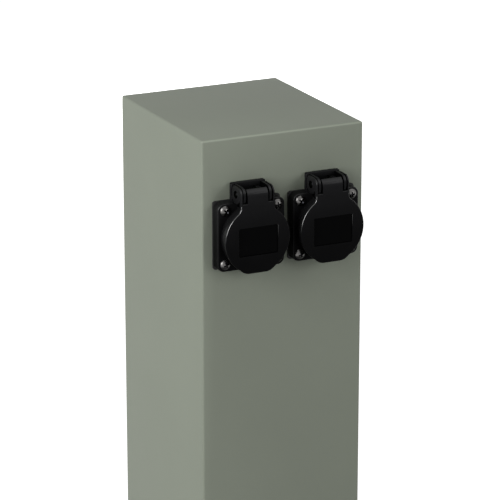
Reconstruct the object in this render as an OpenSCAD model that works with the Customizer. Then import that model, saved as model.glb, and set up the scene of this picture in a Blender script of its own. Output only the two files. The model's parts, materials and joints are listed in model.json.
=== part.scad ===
// Garden socket post: a square sheet-metal column with two flush-mounted outdoor
// sockets under sprung, hinged lids. Millimetres, +Z up, the front faces -Y, and the
// origin is the middle of the foot on the ground.

/* [Post] */
// Width of the post across its front face
post_w = 122; // [118:1:160]
// Depth of the post from front to back
post_d = 137; // [125:1:180]
// Height of the post above the ground
post_h = 400; // [360:5:700]
// Thickness of the column's sheet metal
wall = 2.5; // [1.5:0.1:3.5]
// Thickness of the plate welded over the top
top_t = 3; // [2.5:0.1:5]
// Radius of the column's outer edges
edge_r = 1.5; // [0.5:0.1:2]

/* [Sockets] */
// Distance between the two socket centres
socket_pitch = 56.5; // [54:0.5:64]
// Depth of the socket centres below the top of the post
socket_drop = 67.6; // [52:0.1:90]
// Width of the socket flange
flange_w = 50; // [48:0.5:53]
// Height of the socket flange
flange_h = 48.2; // [47:0.1:52]
// Distance of the flange's middle above the socket's axis
flange_rise = 0.75; // [0:0.05:1]
// Thickness of the socket flange
flange_t = 7.7; // [6:0.1:10]
// Radius of the flange's corners
flange_r = 5; // [2:0.5:6]
// Thickness of the rubber gasket behind the flange
gasket_t = 1.5; // [0.6:0.1:2]
// Radius of the gasket's corners
gasket_r = 2; // [1:0.5:5]
// Outer diameter of the collar that the lid closes on
collar_d = 45.6; // [44.5:0.1:45.8]
// Height of the collar in front of the flange
collar_h = 6.7; // [6:0.1:9]
// Diameter of the well that takes the plug
well_d = 39.4; // [38:0.1:39.6]
// Depth of the well behind the collar's rim
well_depth = 17.5; // [16:0.5:20]
// Outer diameter of the shroud behind the flange
shroud_d = 42; // [41.5:0.1:42.4]
// Distance from the well's floor to the shroud's back
shroud_depth = 22.4; // [20:0.1:30]
// Diameter of the cut-out in the column for one socket
cutout_d = 43; // [42.8:0.1:44]

/* [Flange screws] */
// Distance between two flange screws, across
screw_pitch_x = 39; // [38.6:0.1:39.4]
// Distance between two flange screws, upwards
screw_pitch_y = 38; // [37.6:0.1:38.4]
// Diameter of a flange screw's shank
screw_d = 3.9; // [3:0.1:4.2]
// Diameter of a flange screw's head
screw_head_d = 7.4; // [5.5:0.1:7.5]
// Height of a flange screw's head
screw_head_h = 2.6; // [1.8:0.1:3]
// Depth of the seat that each screw head sits in
screw_seat = 0.5; // [0.2:0.1:1]
// Thickness of the washers behind the column's wall
washer_t = 0.8; // [0.5:0.1:1.2]
// Thickness of the nuts behind the column's wall
nut_t = 3.2; // [2.4:0.1:4]

/* [Lid] */
// Diameter of the lid's disc
lid_d = 48.2; // [46.5:0.1:50]
// Thickness of the lid's disc
lid_t = 3; // [2.6:0.1:4]
// Distance from the lid's centre to its straight lower edge
lid_chin = 23.6; // [22:0.1:24]
// Width of the chin that ends in this edge
chin_w = 30; // [24:0.5:32]
// Radius of the chin's corners
chin_r = 9; // [6:0.5:11]
// Width of the sunk panel in the lid
panel_w = 29.2; // [20:0.1:30]
// Height of the sunk panel in the lid
panel_h = 19.7; // [12:0.1:20]
// Distance of the sunk panel's middle below the lid's centre
panel_drop = 1; // [0:0.1:3]
// Distance of the sunk panel's middle to the right of the lid's centre
panel_shift = 0.5; // [0:0.1:1]
// Depth of the sunk panel
panel_depth = 1; // [0.5:0.1:1.2]
// Radius that blends the lid's neck into its disc
neck_r = 5; // [2:0.5:7]
// Thickness of the seal behind the lid
seal_t = 1.3; // [1:0.1:1.6]
// Depth of the groove that holds the seal
seal_groove = 0.8; // [0.5:0.1:1]

/* [Hinge] */
// Height of the hinge pin above the socket's centre
pin_rise = 30.8; // [30:0.1:33]
// Diameter of the hinge pin
pin_d = 3; // [2:0.1:3.4]
// Distance of the hinge pin behind the lid's front
pin_depth = 9.2; // [8.8:0.1:9.6]
// Radius of the lid's hinge barrel below and behind the pin
barrel_r = 6.6; // [6:0.1:6.8]
// Height of the barrel's flat top above the pin
barrel_top = 5.7; // [5.2:0.1:5.8]
// Radius of the knuckle's upper front corner
knuckle_r = 6.5; // [5:0.1:8]
// Radius of the upper front corner of the cheeks and ears
cheek_r = 5; // [3:0.1:5.5]
// Width of the lid's middle knuckle
knuckle_w = 15.6; // [13:0.1:17]
// Width of each fixed ear on the flange
ear_w = 2.1; // [1.8:0.1:3]
// Thickness of each outer cheek on the lid
cheek_t = 1.2; // [0.8:0.1:1.6]
// Thickness of the hinge plate behind the barrel
hinge_plate_t = 2.9; // [2:0.1:3]
// Height of the hinge plate above the pin
hinge_plate_rise = 6.4; // [4.5:0.1:7]
// Diameter of the spring's wire
spring_wire = 0.9; // [0.6:0.1:1]
// Diameter of the spring's coil at the middle of its wire
spring_d = 5.5; // [4.8:0.1:5.6]
// Turns of the spring
spring_turns = 5; // [3:1:6]

/* [Foot] */
// Thickness of the ground plate
base_t = 5; // [4:0.5:8]
// Distance between the anchor holes, left to right
anchor_x = 76; // [60:1:84]
// Distance between the anchor holes, front to back
anchor_y = 88; // [60:1:96]
// Diameter of the anchor holes
anchor_d = 9; // [7:0.5:11]
// Thickness of the foot's upstands
tab_t = 3; // [2:0.5:4]
// Width of the two side upstands
tab_w = 56; // [48:1:70]
// Height of the two side upstands
tab_h = 45; // [38:1:60]
// Height of the column's fixing screws above the ground
fix_h = 28; // [22:1:30]
// Distance between the two fixing screws on one side
fix_pitch = 30; // [24:1:34]
// Diameter of the fixing screws
fix_d = 5; // [4:0.5:6]
// Diameter of the cable hole through the grommet
cable_d = 13; // [8:0.5:16]

/* [Terminals] */
// Height of the terminal block's middle above the ground
block_h = 105; // [85:1:140]
// Distance between two poles of the terminal block
pole_pitch = 11; // [10:0.5:14]
// Diameter of the insulated wires
wire_d = 2.8; // [2:0.1:3.2]

/* [Hidden] */

$fn = 96;
LEFT = -1;
RIGHT = 1;
cut = 1; // how far a cutting shape runs past the face that it cuts

// Colours of the finishes
SAGE = [0.45, 0.48, 0.42];
BLACK = [0.05, 0.05, 0.055];
RUBBER = [0.03, 0.03, 0.03];
STEEL = [0.72, 0.72, 0.74];
ZINC = [0.62, 0.63, 0.65];
BRASS = [0.78, 0.62, 0.3];
NYLON = [0.85, 0.85, 0.82];
BROWN = [0.32, 0.17, 0.09];
BLUE = [0.1, 0.25, 0.6];
GREEN = [0.25, 0.5, 0.12];

// Clearances
slide_gap = 0.3;  // between pieces that pass each other
run_gap = 0.08;   // radial, where a pin turns in a bore
fit_gap = 0.02;   // radial, where a pin or thread is held in a bore
bolt_gap = 0.25;  // radial, where a screw passes through a hole
ear_gap = 0.5;    // between a hinge ear and the lid's cheek
knuckle_gap = 0.8; // between a hinge ear and the lid's knuckle

// Inside of the column
inner_w = post_w - 2 * wall;
inner_d = post_d - 2 * wall;

// Distances in front of the column's face
flange_front = gasket_t + flange_t;
rim = flange_front + collar_h;
seal_air = 0.2;
lid_back = rim + seal_air + seal_t - seal_groove;
lid_front = lid_back + lid_t;
pin_out = lid_front - pin_depth;
well_floor = rim - well_depth;
shroud_back = well_floor - shroud_depth;

// Edges of the flange and its gasket
flange_top = flange_rise + flange_h / 2;
gasket_lip = 0.15;

// Screw seats, nuts and washers of the flange
screw_seat_room = 0.2;
screw_seat_d = screw_head_d + 2 * screw_seat_room;
screw_hole_d = screw_d + 2 * bolt_gap;
screw_seat_z = flange_front - screw_seat;
screw_past_nut = 1.5;
screw_end = -(wall + washer_t + nut_t + screw_past_nut);
washer_d = 2.25 * screw_d;
nut_flats = 1.75 * screw_d;
drive_w = 0.9;
drive_span = 0.6 * screw_head_d;
drive_depth = 0.55 * screw_head_h;
shoulder_h = 0.3 * screw_head_h;

// Hinge, across its width
ear_in = knuckle_w / 2 + knuckle_gap;
ear_out = ear_in + ear_w;
slot_in = knuckle_w / 2;
slot_out = ear_out + ear_gap;
hinge_half = slot_out + cheek_t;
plate_half = hinge_half + slide_gap;
ear_inset = 0.2;
ear_r = pin_depth - ear_inset;
ear_setback = 0.4;
ear_front = pin_depth - ear_setback;
slot_r = ear_r + slide_gap;
slot_drop = 4.8;
blend_steps = 12;
relief_r = barrel_r + slide_gap;
cheek_hole_room = 1.2;
cheek_hole_d = pin_d + 2 * cheek_hole_room;
pin_setback = 0.4;
pin_half = hinge_half - pin_setback;
pocket_half = 4.6;
spring_room = 0.7;
pocket_r = spring_d / 2 + spring_wire / 2 + spring_room;
pocket_front = 3.6;
shelf_rise = 2.4;
spring_pitch = 1.4;
spring_half = spring_turns * spring_pitch / 2;
notch_room = 0.35;
spring_notch = spring_wire / 2 + notch_room;
foot_room = 0.15;
spring_foot = pin_depth - lid_t - foot_room;
turn_rings = 8;
spring_sides = 6;

// Seal ring between the lid and the collar's rim
seal_overhang = 0.4;
seal_setback = 0.7;
seal_in = well_d / 2 - seal_overhang;
seal_out = collar_d / 2 - seal_setback;
groove_gap = 0.1;

// Insert, ledge and contact carrier in the well
insert_t = 3;
insert_gap = 0.1;
ledge_t = 2;
ledge_w = 2.2;
ledge_r = well_d / 2 - ledge_w;
ledge_front = well_floor - insert_t;
ledge_back = ledge_front - ledge_t;
carrier_disc_t = 2.4;
carrier_room = 1.2;
carrier_r = well_d / 2 - carrier_room;
carrier_setback = 1;
carrier_back = shroud_back + carrier_setback;
pin_hole_d = 5.5;
pin_hole_pitch = 19;
sleeve_d = 6.8;
sleeve_bore = 4.9;
sleeve_len = 11.4;
sleeve_back = ledge_front - sleeve_len;
clamp_w = 9;
clamp_h = 13;
earth_clamp_w = 11.2;
earth_clamp_h = 7.2;
earth_entry = 3.9;
earth_drop = 11;
pocket_gap = 0.2;
entry_offset = 4;
clamp_screw_d = 3;
clamp_head_d = 4;
clamp_head_h = 1.4;
clamp_screw_len = 4.5;
rib_w = 4.4;
rib_in = 2.4;
rib_setback = 1;
clip_w = 5;
clip_t = 0.8;
clip_inset = 0.5;
clip_r = ledge_r - clip_inset;
clip_bow = 1.2;
clip_bow_rise = 3;
clip_straight = 2;
clip_setback = 5;
clip_top = rim - clip_setback;
clip_slot_gap = 0.3;
insert_screw_d = 3;
insert_head_d = 5.6;
insert_head_h = 1.6;
insert_screw_len = 12;

// Foot
base_x = inner_w - 2 * slide_gap;
base_y = inner_d - 2 * slide_gap;
upstand_w = 50;
upstand_over = 22;
upstand_h = block_h + upstand_over;
upstand_face = base_y / 2 - tab_t;
grommet_wall = 3.5;
grommet_d = cable_d + 2 * grommet_wall;
grommet_lip = 4;
grommet_flange_d = grommet_d + 2 * grommet_lip;
grommet_flange_t = 3;
fix_hole_d = fix_d + 2 * bolt_gap;
fix_head_d = 1.9 * fix_d;
fix_head_h = 0.55 * fix_d;
fix_nut_t = 0.8 * fix_d;
fix_nut_flats = 1.6 * fix_d;
hex_key = 0.6 * fix_d;
stud_d = 6;
stud_h = 16;
stud_x = 0;
stud_from_back = 29.7;
stud_y = base_y / 2 - stud_from_back;
lug_t = 1.2;
lug_d = 12;
lug_barrel_d = 5;
lug_barrel_len = 8;
lug_tongue = 2;
earth_nut_t = 5;
earth_nut_flats = 10;

// Terminal block
block_end = 6;
block_w = 3 * pole_pitch + 2 * block_end;
block_d = 18;
block_z = 24;
bar_w = 6.5;
bar_d = 7;
bar_out = block_d / 2;
block_screw_d = 4;
block_screw_head_d = 7;
block_screw_head_h = 2.5;
bar_screw_d = 3.4;
bar_screw_head_d = 5;
bar_screw_sunk = 1;
bar_screw_head_h = block_d - bar_out - bar_d / 2 - bar_screw_sunk;
bar_screw_pitch = 12;
POLE_LIVE = -1;
POLE_EARTH = 0;
POLE_NEUTRAL = 1;

// Wires
wire_sides = 8;
supply_rings = 26;
jumper_rings = 18;
supply_rise = 150;
supply_reach = 90;
jumper_reach = 40;
bond_reach = 30;

// Places

// Puts a socket's own frame on the front face: x to the right, y up, z out of the post
module at_socket(side) {
    translate([side * socket_pitch / 2, -post_d / 2, post_h - socket_drop])
        rotate([90, 0, 0])
            children();
}

// The same place for a point
function socket_point(side, p) = [
    side * socket_pitch / 2 + p[0], -post_d / 2 - p[2], post_h - socket_drop + p[1]
];

// The four screws of one flange
module at_flange_screws() {
    for (x = [-1, 1], y = [-1, 1])
        translate([x * screw_pitch_x / 2, flange_rise + y * screw_pitch_y / 2, 0])
            children();
}

// The four fixing screws of the foot, z pointing out of the column's side
module at_fixings() {
    for (side = [LEFT, RIGHT], row = [-1, 1])
        translate([side * post_w / 2, row * fix_pitch / 2, fix_h])
            rotate([0, side * 90, 0])
                children();
}

// The hinge pin's line, z running along the pin to the right
module at_pin() {
    translate([0, pin_rise, pin_out])
        rotate([0, 90, 0])
            children();
}

// Shapes

// A rectangle with round corners, centred
module rounded_rect(w, h, r) {
    square([w - 2 * r, h], center = true);
    square([w, h - 2 * r], center = true);
    for (x = [-1, 1], y = [-1, 1])
        translate([x * (w / 2 - r), y * (h / 2 - r)])
            circle(r);
}

// A rectangle standing on y = 0 whose two upper corners are round
module round_shouldered(w, h, r) {
    translate([-w / 2, 0])
        square([w, h - r]);
    translate([-w / 2 + r, 0])
        square([w - 2 * r, h]);
    for (x = [-1, 1])
        translate([x * (w / 2 - r), h - r])
            circle(r);
}

// A hexagon of the given width across its flats
module hexagon(flats) {
    circle(d = flats / cos(30), $fn = 6);
}

// A plain nut standing on z = 0
module nut(flats, t, bore) {
    linear_extrude(t)
        difference() {
            hexagon(flats);
            circle(d = bore);
        }
}

// A flat ring standing on z = 0
module ring(outer_d, inner_d, t) {
    linear_extrude(t)
        difference() {
            circle(d = outer_d);
            circle(d = inner_d);
        }
}

// A block with x and y centred, standing on z = 0
module block(w, h, t) {
    linear_extrude(t)
        square([w, h], center = true);
}

// Tubes along a line of points

function unit(v) = v / norm(v);
function tangents(p) = [
    for (i = [0:len(p) - 1]) unit(p[min(i + 1, len(p) - 1)] - p[max(i - 1, 0)])
];
function squared(n, t) = unit(n - (n * t) * t);
function normals(t, first) = [
    for (i = 0, n = squared(first, t[0]); i < len(t); i = i + 1, n = squared(n, t[min(i, len(t) - 1)])) n
];
function bezier(a, b, c, d, rings) = [
    for (i = [0:rings])
        let (t = i / rings, u = 1 - t)
            u * u * u * a + 3 * u * u * t * b + 3 * u * t * t * c + t * t * t * d
];

// A round tube along points, with flat ends; first points to its first corner
module tube(p, d, sides, first) {
    t = tangents(p);
    n = normals(t, first);
    rings = len(p);
    last = (rings - 1) * sides;
    points = [
        for (i = [0:rings - 1], k = [0:sides - 1])
            p[i] + d / 2 * (cos(360 * k / sides) * n[i] + sin(360 * k / sides) * cross(t[i], n[i]))
    ];
    walls = [
        for (i = [0:rings - 2], k = [0:sides - 1])
            let (a = i * sides + k, b = i * sides + (k + 1) % sides)
                each [[a, a + sides, b + sides], [a, b + sides, b]]
    ];
    ends = [
        for (k = [1:sides - 2])
            each [[0, k, k + 1], [last, last + k + 1, last + k]]
    ];
    polyhedron(points, concat(walls, ends));
}

// Post

module column() {
    color(SAGE)
        difference() {
            linear_extrude(post_h - top_t)
                difference() {
                    rounded_rect(post_w, post_d, edge_r);
                    square([inner_w, inner_d], center = true);
                }
            for (side = [LEFT, RIGHT])
                at_socket(side)
                    translate([0, 0, -wall - cut]) {
                        cylinder(d = cutout_d, h = wall + 2 * cut);
                        at_flange_screws()
                            cylinder(d = screw_hole_d, h = wall + 2 * cut);
                    }
            at_fixings()
                translate([0, 0, -wall - cut])
                    cylinder(d = fix_hole_d, h = wall + 2 * cut);
        }
}

module top_plate() {
    color(SAGE)
        translate([0, 0, post_h - top_t])
            intersection() {
                linear_extrude(top_t)
                    rounded_rect(post_w, post_d, edge_r);
                rotate([90, 0, 0])
                    linear_extrude(post_d + 2 * cut, center = true)
                        round_shouldered(post_w, top_t, edge_r);
                rotate([90, 0, 90])
                    linear_extrude(post_w + 2 * cut, center = true)
                        round_shouldered(post_d, top_t, edge_r);
            }
}

// Foot

module base_plate() {
    color(ZINC)
        difference() {
            block(base_x, base_y, base_t);
            for (x = [-1, 1], y = [-1, 1])
                translate([x * anchor_x / 2, y * anchor_y / 2, -cut])
                    cylinder(d = anchor_d, h = base_t + 2 * cut);
            translate([0, 0, -cut])
                cylinder(d = grommet_d, h = base_t + 2 * cut);
        }
}

// Upright strips welded to the ground plate, which the column is screwed to
module side_upstands() {
    color(ZINC)
        difference() {
            for (side = [LEFT, RIGHT])
                translate([side * (base_x - tab_t) / 2, 0, base_t])
                    block(tab_t, tab_w, tab_h - base_t);
            at_fixings()
                translate([0, 0, -wall - slide_gap - tab_t - cut])
                    cylinder(d = fix_hole_d, h = tab_t + 2 * cut);
        }
}

// Tall strip at the back that carries the terminal block
module terminal_upstand() {
    color(ZINC)
        difference() {
            translate([0, (base_y - tab_t) / 2, base_t])
                block(upstand_w, tab_t, upstand_h - base_t);
            for (x = [-1, 1])
                translate([x * (block_w - pole_pitch) / 2, upstand_face - cut, block_h])
                    rotate([-90, 0, 0])
                        cylinder(d = block_screw_d + 2 * fit_gap, h = tab_t + 2 * cut);
        }
}

module base_screws() {
    tip = wall + slide_gap + tab_t + fix_nut_t + screw_past_nut;
    color(STEEL)
        at_fixings()
            difference() {
                union() {
                    rotate_extrude()
                        intersection() {
                            translate([0, fix_head_h - fix_head_d * 0.62])
                                circle(fix_head_d * 0.62);
                            square([fix_head_d / 2, fix_head_h]);
                        }
                    translate([0, 0, -tip])
                        cylinder(d = fix_d, h = tip + fix_head_h / 4);
                }
                translate([0, 0, fix_head_h * 0.35])
                    linear_extrude(fix_head_h)
                        hexagon(hex_key);
            }
}

module base_nuts() {
    color(STEEL)
        at_fixings()
            translate([0, 0, -wall - slide_gap - tab_t - fix_nut_t])
                nut(fix_nut_flats, fix_nut_t, fix_d + 2 * fit_gap);
}

module cable_grommet() {
    color(RUBBER)
        rotate_extrude()
            difference() {
                union() {
                    square([grommet_d / 2 - fit_gap, base_t + grommet_flange_t]);
                    translate([0, base_t])
                        square([grommet_flange_d / 2, grommet_flange_t]);
                }
                translate([-cut, -cut])
                    square([cable_d / 2 + cut, base_t + grommet_flange_t + 2 * cut]);
            }
}

module earth_stud() {
    color(STEEL)
        translate([stud_x, stud_y, base_t])
            cylinder(d = stud_d, h = stud_h);
}

module earth_lug() {
    color(BRASS)
        translate([stud_x, stud_y, base_t])
            difference() {
                union() {
                    cylinder(d = lug_d, h = lug_t);
                    translate([-lug_d / 2, lug_d / 4, 0])
                        cube([lug_d, lug_d / 2 + lug_tongue, lug_t]);
                    translate([0, lug_d / 2 + lug_barrel_d / 2, 0])
                        cylinder(d = lug_barrel_d, h = lug_t + lug_barrel_len);
                }
                translate([0, 0, -cut])
                    cylinder(d = stud_d + 2 * bolt_gap, h = lug_t + 2 * cut);
            }
}

module earth_nut() {
    color(STEEL)
        translate([stud_x, stud_y, base_t + lug_t])
            nut(earth_nut_flats, earth_nut_t, stud_d + 2 * fit_gap);
}

// Terminal block, on the front of the rear upstand

module at_block() {
    translate([0, upstand_face, block_h])
        rotate([90, 0, 0])
            children();
}

module terminal_block() {
    color(NYLON)
        at_block()
            difference() {
                block(block_w, block_z, block_d);
                for (pole = [-1:1])
                    translate([pole * pole_pitch, 0, bar_out])
                        rotate([90, 0, 0])
                            linear_extrude(block_z + 2 * cut, center = true)
                                square([bar_w + 2 * fit_gap, bar_d + 2 * fit_gap], center = true);
                for (pole = [-1:1], y = [-1, 1])
                    translate([pole * pole_pitch, y * bar_screw_pitch / 2, bar_out])
                        cylinder(d = bar_screw_head_d + 2 * bolt_gap, h = block_d);
                for (x = [-1, 1])
                    translate([x * (block_w - pole_pitch) / 2, 0, -cut])
                        cylinder(d = block_screw_d + 2 * bolt_gap, h = block_d + 2 * cut);
            }
}

module terminal_bars() {
    color(BRASS)
        at_block()
            for (pole = [-1:1])
                translate([pole * pole_pitch, 0, bar_out])
                    difference() {
                        rotate([90, 0, 0])
                            linear_extrude(block_z, center = true)
                                square([bar_w, bar_d], center = true);
                        for (y = [-1, 1])
                            translate([0, y * bar_screw_pitch / 2, 0])
                                cylinder(d = bar_screw_d + 2 * fit_gap, h = bar_d);
                    }
}

module terminal_screws() {
    color(STEEL)
        at_block()
            for (pole = [-1:1], y = [-1, 1])
                translate([pole * pole_pitch, y * bar_screw_pitch / 2, bar_out + bar_d / 2])
                    slotted_screw(bar_screw_d, bar_d / 2, bar_screw_head_d, bar_screw_head_h);
}

// A screw whose head stands on z = 0 and whose shank runs to z = -length
module slotted_screw(d, length, head_d, head_h) {
    slot_w = 0.8;
    slot_depth = min(0.8, head_h / 2);
    difference() {
        union() {
            cylinder(d = head_d, h = head_h);
            translate([0, 0, -length])
                cylinder(d = d, h = length + head_h / 2);
        }
        translate([0, 0, head_h - slot_depth])
            block(head_d + 2 * cut, slot_w, slot_depth + cut);
    }
}

module block_screws() {
    color(STEEL)
        at_block()
            for (x = [-1, 1])
                translate([x * (block_w - pole_pitch) / 2, 0, block_d])
                    slotted_screw(block_screw_d, block_d + tab_t, block_screw_head_d, block_screw_head_h);
}

// Wires: the supply comes to the left socket, which feeds the right one

function pole_top(pole) = [pole * pole_pitch, upstand_face - bar_out, block_h + block_z / 2];
function clamp_entry(side, x, y) = socket_point(side, [x, y, carrier_back]);

module supply_wire(pole, x, y) {
    from = pole_top(pole);
    to = clamp_entry(LEFT, x, y);
    tube(
        bezier(from, from + [0, 0, supply_rise], to + [0, supply_reach, 0], to, supply_rings),
        wire_d, wire_sides, [1, 0, 0]
    );
}

module jumper_wire(left_x, right_x, y) {
    from = clamp_entry(LEFT, left_x, y);
    to = clamp_entry(RIGHT, right_x, y);
    tube(
        bezier(from, from + [0, jumper_reach, 0], to + [0, jumper_reach, 0], to, jumper_rings),
        wire_d, wire_sides, [0, 0, 1]
    );
}

module bonding_wire() {
    from = [0, upstand_face - bar_out, block_h - block_z / 2];
    to = [stud_x, stud_y + lug_d / 2 + lug_barrel_d / 2, base_t + lug_t + lug_barrel_len];
    tube(
        bezier(from, from - [0, 0, bond_reach], to + [0, 0, bond_reach], to, jumper_rings),
        wire_d, wire_sides, [1, 0, 0]
    );
}

module live_wires() {
    color(BROWN) {
        supply_wire(POLE_LIVE, -pin_hole_pitch / 2, -entry_offset);
        jumper_wire(-pin_hole_pitch / 2, -pin_hole_pitch / 2, entry_offset);
    }
}

module neutral_wires() {
    color(BLUE) {
        supply_wire(POLE_NEUTRAL, pin_hole_pitch / 2, entry_offset);
        jumper_wire(pin_hole_pitch / 2, pin_hole_pitch / 2, -entry_offset);
    }
}

module earth_wires() {
    color(GREEN) {
        supply_wire(POLE_EARTH, -earth_entry, -earth_drop);
        jumper_wire(earth_entry, -earth_entry, -earth_drop);
        bonding_wire();
    }
}

// Socket, each piece in the socket's own frame

module flange_gasket(side) {
    color(RUBBER)
        at_socket(side)
            linear_extrude(gasket_t)
                difference() {
                    translate([0, flange_rise])
                        rounded_rect(flange_w + 2 * gasket_lip, flange_h + 2 * gasket_lip, gasket_r);
                    circle(d = cutout_d - 2 * slide_gap);
                    at_flange_screws()
                        circle(d = screw_hole_d);
                }
}

// Outline of one fixed ear, seen along the pin: x is up and y is out of the post
module ear_outline() {
    intersection() {
        translate([pin_rise, pin_out])
            circle(ear_r);
        translate([pin_rise, pin_out]) {
            translate([-ear_r, -cut])
                square([ear_r + barrel_top, cut + ear_front - cheek_r]);
            translate([-ear_r, -cut])
                square([ear_r + barrel_top - cheek_r, cut + ear_front]);
            translate([barrel_top - cheek_r, ear_front - cheek_r])
                circle(cheek_r);
        }
    }
    translate([flange_top - flange_r, gasket_t])
        square([pin_rise + barrel_top - flange_top + flange_r, pin_out - gasket_t]);
}

// Turns a flat outline, x up and y out of the post, across the pin and fills it from x0 to x1
module across_pin(x0, x1) {
    translate([x0, 0, 0])
        rotate([90, 0, 90])
            linear_extrude(x1 - x0)
                children();
}

module socket_body(side) {
    color(BLACK)
        at_socket(side)
            difference() {
                union() {
                    difference() {
                        union() {
                            translate([0, 0, shroud_back])
                                cylinder(d = shroud_d, h = gasket_t - shroud_back + cut);
                            translate([0, flange_rise, gasket_t])
                                linear_extrude(flange_t)
                                    rounded_rect(flange_w, flange_h, flange_r);
                            translate([0, 0, flange_front - cut])
                                cylinder(d = collar_d, h = collar_h + cut);
                            translate([-plate_half, 0, gasket_t])
                                cube([2 * plate_half, pin_rise + hinge_plate_rise, hinge_plate_t]);
                        }
                        at_pin()
                            cylinder(r = relief_r, h = 2 * plate_half, center = true);
                    }
                    for (x = [-1, 1])
                        across_pin(min(x * ear_in, x * ear_out), max(x * ear_in, x * ear_out))
                            ear_outline();
                }
                difference() {
                    translate([0, 0, ledge_front])
                        cylinder(d = well_d, h = rim - ledge_front + cut);
                    guide_ribs();
                }
                translate([0, 0, ledge_back - cut])
                    cylinder(r = ledge_r, h = ledge_t + 2 * cut);
                translate([0, 0, shroud_back - cut])
                    cylinder(d = well_d, h = ledge_back - shroud_back + cut);
                translate([0, 0, gasket_t - cut])
                    at_flange_screws()
                        cylinder(d = screw_hole_d, h = flange_t + 2 * cut);
                translate([0, 0, screw_seat_z])
                    at_flange_screws()
                        cylinder(d = screw_seat_d, h = screw_seat + cut);
                at_pin()
                    cylinder(d = pin_d + 2 * fit_gap, h = 2 * plate_half, center = true);
            }
}

// The two ribs at the well's sides that keep a plug the right way round
module guide_ribs() {
    for (x = [-1, 1])
        translate([x * (well_d / 2 - rib_in / 2 + cut / 2), 0, well_floor])
            block(rib_in + cut, rib_w, rim - rib_setback - well_floor);
}

// The well's floor, with the two pin holes and the slots for the earth clip
module socket_insert(side) {
    color(BLACK)
        at_socket(side)
            difference() {
                translate([0, 0, ledge_front])
                    cylinder(d = well_d - 2 * insert_gap, h = insert_t);
                for (x = [-1, 1])
                    translate([x * pin_hole_pitch / 2, 0, ledge_front - cut])
                        cylinder(d = pin_hole_d, h = insert_t + 2 * cut);
                for (y = [-1, 1])
                    translate([0, y * (clip_r - clip_t / 2), ledge_front - cut])
                        block(clip_w + 2 * clip_slot_gap, clip_t + 2 * clip_slot_gap, insert_t + 2 * cut);
                translate([0, 0, ledge_front - cut])
                    cylinder(d = insert_screw_d + 2 * bolt_gap, h = insert_t + 2 * cut);
                translate([0, 0, well_floor - insert_head_h])
                    cylinder(d = insert_head_d + 2 * bolt_gap, h = insert_head_h + cut);
            }
}

// The moulding behind the ledge that holds the contacts
module contact_carrier(side) {
    color(NYLON)
        at_socket(side)
            difference() {
                union() {
                    translate([0, 0, ledge_back - cut])
                        cylinder(r = ledge_r - insert_gap, h = ledge_t + cut);
                    translate([0, 0, ledge_back - carrier_disc_t])
                        cylinder(d = well_d - 2 * insert_gap, h = carrier_disc_t);
                    translate([0, 0, carrier_back])
                        cylinder(r = carrier_r, h = ledge_back - carrier_back);
                }
                for (x = [-1, 1])
                    translate([x * pin_hole_pitch / 2, 0, 0]) {
                        translate([0, 0, sleeve_back - cut])
                            cylinder(d = sleeve_d + 2 * insert_gap, h = ledge_front - sleeve_back + 2 * cut);
                        translate([0, 0, carrier_back - cut])
                            block(
                                clamp_w + 2 * pocket_gap, clamp_h + 2 * pocket_gap,
                                sleeve_back - carrier_back + cut
                            );
                    }
                translate([0, -earth_drop, carrier_back - cut])
                    block(
                        earth_clamp_w + 2 * pocket_gap, earth_clamp_h + 2 * pocket_gap,
                        ledge_front - carrier_back + 2 * cut
                    );
                translate([0, 0, ledge_front - clip_t])
                    block(clip_w + 2 * clip_slot_gap, well_d, clip_t + cut);
                translate([0, 0, ledge_front - insert_screw_len])
                    cylinder(d = insert_screw_d + 2 * fit_gap, h = insert_screw_len + cut);
            }
}

// Live and neutral contacts: a sleeve for the plug's pin and a clamp for two wires
module line_contacts(side) {
    color(BRASS)
        at_socket(side)
            for (x = [-1, 1])
                translate([x * pin_hole_pitch / 2, 0, 0])
                    difference() {
                        union() {
                            translate([0, 0, sleeve_back - cut])
                                cylinder(d = sleeve_d, h = ledge_front - sleeve_back + cut);
                            translate([0, 0, carrier_back])
                                block(clamp_w, clamp_h, sleeve_back - carrier_back);
                        }
                        translate([0, 0, sleeve_back + cut])
                            cylinder(d = sleeve_bore, h = ledge_front - sleeve_back);
                        translate([0, 0, carrier_back - cut])
                            cylinder(d = clamp_screw_d + 2 * fit_gap, h = clamp_screw_len + cut);
                    }
}

// Side outline of one spring leg of the earth clip: x is up and y is out of the post
module clip_leg_outline() {
    bowed = (ledge_front + clip_top) / 2 + clip_bow_rise;
    straight = well_floor + clip_straight;
    polygon([
        [clip_r, ledge_front - clip_t], [clip_r, straight], [clip_r - clip_bow, bowed],
        [clip_r, clip_top], [clip_r - clip_t, clip_top], [clip_r - clip_bow - clip_t, bowed],
        [clip_r - clip_t, straight], [clip_r - clip_t, ledge_front - clip_t],
    ]);
}

module earth_clip(side) {
    color(BRASS)
        at_socket(side)
            difference() {
                union() {
                    translate([0, 0, ledge_front - clip_t])
                        block(clip_w, 2 * clip_r, clip_t);
                    across_pin(-clip_w / 2, clip_w / 2) {
                        clip_leg_outline();
                        mirror([1, 0])
                            clip_leg_outline();
                    }
                    translate([0, -earth_drop, sleeve_back])
                        block(clip_w, clip_t, ledge_front - sleeve_back);
                    translate([0, -earth_drop, carrier_back])
                        block(earth_clamp_w, earth_clamp_h, sleeve_back - carrier_back);
                }
                translate([0, 0, ledge_front - clip_t - cut])
                    cylinder(d = insert_screw_d + 2 * bolt_gap, h = clip_t + 2 * cut);
                translate([0, -earth_drop, carrier_back - cut])
                    cylinder(d = clamp_screw_d + 2 * fit_gap, h = clamp_screw_len + cut);
            }
}

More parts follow.
